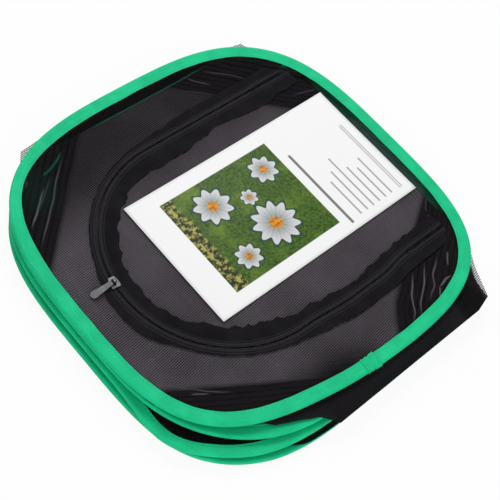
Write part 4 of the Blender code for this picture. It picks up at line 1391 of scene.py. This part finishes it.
class CAGE_OT_slider(bpy.types.Operator):
    """Makes the zip's slider, its bail and the pull tab"""

    bl_idname = "cage.slider"
    bl_label = "Slider"

    def execute(self, context):
        settings = context.scene.cage_zip
        self.metal = dark_metal("plated_zinc", settings.metal_colour, 0.38)
        low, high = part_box("zip_slider")
        middle = ((low + high) / 2).to_2d()
        turn = math.atan2(middle.y - TRACK.centre.y, middle.x - TRACK.centre.x)
        self.at = Matrix.Translation((middle.x, middle.y, 0)) @ Matrix.Rotation(turn, 4, "Z")
        self.make_body(low.z)
        self.make_bail()
        self.make_tab(middle, turn)
        return {"FINISHED"}

    def set_down(self, name, bm, at, body, node=None):
        """Puts a finished metal part, made about its own middle, in its place."""
        bmesh.ops.recalc_face_normals(bm, faces=bm.faces)
        bmesh.ops.transform(bm, matrix=at, verts=bm.verts)
        return as_piece(name, bm, self.metal, body, node)

    def plate(self, bm, size, level, crown):
        """A plate that narrows to its tail, crowned on top."""
        made = bmesh.ops.create_grid(bm, x_segments=8, y_segments=10, size=0.5)["verts"]
        for vert in made:
            across, along = vert.co.x, vert.co.y
            narrow = 1 - 0.30 * smooth_step(-along, -0.1, 0.5) - 0.12 * smooth_step(along, 0.3, 0.5)
            height = crown * (1 - (across * 2) ** 2) * (1 - (along * 1.6) ** 2)
            vert.co = Vector((across * size.x * narrow, along * size.y, level + height))
        top = [f for f in bm.faces if all(v in made for v in f.verts)]
        lifted = bmesh.ops.extrude_face_region(bm, geom=top)
        bmesh.ops.translate(bm, verts=new_points(lifted), vec=(0, 0, size.z))

    def make_body(self, low):
        """Two plates with a wall at each side and a post between them at the front."""
        bm = bmesh.new()
        self.plate(bm, Vector((0.0070, 0.0088, 0.0005)), low, 0.0)
        self.plate(bm, Vector((0.0074, 0.0090, 0.0007)), 0.01916, 0.0004)
        blocks = [((side * 0.0031, 0.0006, 0.01878), (0.0006, 0.0062, 0.0009)) for side in (-1, 1)]
        blocks.append(((0, 0.0036, 0.01816), (0.0006, 0.0014, 0.0021)))
        for middle, size in blocks:
            at = Matrix.Translation(middle) @ Matrix.Diagonal((*size, 1))
            bmesh.ops.create_cube(bm, size=1.0, matrix=at)
        soften(self.set_down("slider_body", bm, self.at, "slider", "zip_slider"), 0.00018)

    def make_bail(self):
        """A wire loop along the slider that the tab's eye hangs on."""
        bm = bmesh.new()
        ring = bmesh.ops.create_circle(bm, segments=12, radius=0.00062)["verts"]
        bmesh.ops.translate(bm, verts=ring, vec=(0, 0.0021, 0.0196))
        up = bmesh.ops.extrude_edge_only(bm, edges=list(bm.edges))
        bmesh.ops.translate(bm, verts=new_points(up), vec=(0, 0, 0.0006))
        loop = [part for part in up["geom"] if isinstance(part, bmesh.types.BMEdge)]
        arch = {"cent": (0, 0, 0.0202), "axis": (1, 0, 0), "angle": math.pi, "steps": 14}
        bmesh.ops.spin(bm, geom=loop, use_merge=False, **arch)
        last = [v for v in bm.verts if v.co.y < -0.0012 and v.co.z < 0.02021]
        ends = [e for e in bm.edges if e.is_boundary and all(v in last for v in e.verts)]
        down = bmesh.ops.extrude_edge_only(bm, edges=ends)
        bmesh.ops.translate(bm, verts=new_points(down), vec=(0, 0, -0.0006))
        bmesh.ops.holes_fill(bm, edges=bm.edges, sides=16)
        self.set_down("slider_bail", bm, self.at, "slider")

    def make_tab(self, middle, turn):
        """A flat tab with a sunk face, a round end and an eye over the bail."""
        outline = [(0.0007, 0.0014), (0.0026, 0.0018), (0.0070, 0.0021), (0.0130, 0.0026)]
        for i in range(9):
            angle = math.pi / 2 - math.pi * i / 8
            outline.append((0.0166 + 0.0029 * math.cos(angle), 0.0029 * math.sin(angle)))
        outline += [(x, -y) for x, y in reversed(outline[:4])]
        bm = bmesh.new()
        face = bm.faces.new([bm.verts.new((x, y, 0.0005)) for x, y in outline])
        bmesh.ops.inset_region(bm, faces=[face], thickness=0.0007)
        bmesh.ops.translate(bm, verts=face.verts, vec=(0, 0, -0.00028))
        for vert in new_points(bmesh.ops.extrude_face_region(bm, geom=list(bm.faces))):
            vert.co.z = -vert.co.z
        eye = {"segments": 20, "depth": 0.0028, "matrix": Matrix.Rotation(math.pi / 2, 4, "X")}
        rings = []
        for radius in (0.00155, 0.00095):
            ring = bmesh.ops.create_cone(bm, cap_ends=False, radius1=radius, radius2=radius, **eye)
            rings += ring["verts"]
        edges = [e for e in bm.edges if e.is_boundary and all(v in rings for v in e.verts)]
        for side in (-1, 1):
            loops = [e for e in edges if all(v.co.y * side > 0 for v in e.verts)]
            bmesh.ops.bridge_loops(bm, edges=loops)
        drop = Matrix.Rotation(math.radians(8.5), 4, "Y")
        at = Matrix.Translation((*middle, 0.0217)) @ Matrix.Rotation(turn + 0.14, 4, "Z") @ drop
        soften(self.set_down("tab_plate", bm, at, "pull_tab", "pull_tab"), 0.00015)


# Leaflet


class CAGE_OT_leaflet(bpy.types.Operator):
    """Lays the printed card on the door"""

    bl_idname = "cage.leaflet"
    bl_label = "Leaflet"

    def execute(self, context):
        settings = context.scene.cage_leaflet
        low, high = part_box("leaflet")
        middle = (low + high) / 2
        size = high - low

        def chart(along, across):
            return (along - 0.5) * size.x, (across - 0.5) * size.y

        def place(along, across):
            x, y = chart(along, across)
            curl = (abs(along - 0.5) * 2) ** 3 + (abs(across - 0.5) * 2) ** 4 * 0.3
            return Vector((middle.x + x, middle.y + y, high.z + curl * settings.curl))

        card = printed_card("printed_card", settings.paper)
        piece = as_piece(
            "leaflet_card", laid_grid(60, 34, place, chart), card, "leaflet", "leaflet"
        )
        thicken(piece, 0.0003)
        return {"FINISHED"}


# Sidebar and registration


class CAGE_PT_sidebar(bpy.types.Panel):
    """Lists the cage's operators"""

    bl_label = "Insect cage"
    bl_idname = "CAGE_PT_sidebar"
    bl_space_type = "VIEW_3D"
    bl_region_type = "UI"
    bl_category = "Insect cage"

    def draw(self, context):
        for operator in OPERATORS:
            self.layout.operator(operator.bl_idname)


SETTINGS = {
    "cage_stage": StageSettings,
    "cage_tape": TapeSettings,
    "cage_netting": NettingSettings,
    "cage_zip": ZipSettings,
    "cage_leaflet": LeafletSettings,
}
OPERATORS = (
    CAGE_OT_stage,
    CAGE_OT_hoops,
    CAGE_OT_bindings,
    CAGE_OT_nettings,
    CAGE_OT_end_cloths,
    CAGE_OT_edge_seams,
    CAGE_OT_zip,
    CAGE_OT_slider,
    CAGE_OT_leaflet,
)


def register():
    for name, group in SETTINGS.items():
        bpy.utils.register_class(group)
        setattr(bpy.types.Scene, name, PointerProperty(type=group))
    for operator in OPERATORS:
        bpy.utils.register_class(operator)
    bpy.utils.register_class(CAGE_PT_sidebar)


def unregister():
    bpy.utils.unregister_class(CAGE_PT_sidebar)
    for operator in reversed(OPERATORS):
        bpy.utils.unregister_class(operator)
    for name, group in reversed(SETTINGS.items()):
        delattr(bpy.types.Scene, name)
        bpy.utils.unregister_class(group)


def main():
    register()
    bpy.ops.cage.stage()
    bpy.ops.cage.hoops()
    bpy.ops.cage.bindings()
    bpy.ops.cage.nettings()
    bpy.ops.cage.end_cloths()
    bpy.ops.cage.edge_seams()
    bpy.ops.cage.zip()
    bpy.ops.cage.slider()
    bpy.ops.cage.leaflet()


if __name__ == "__main__":
    main()
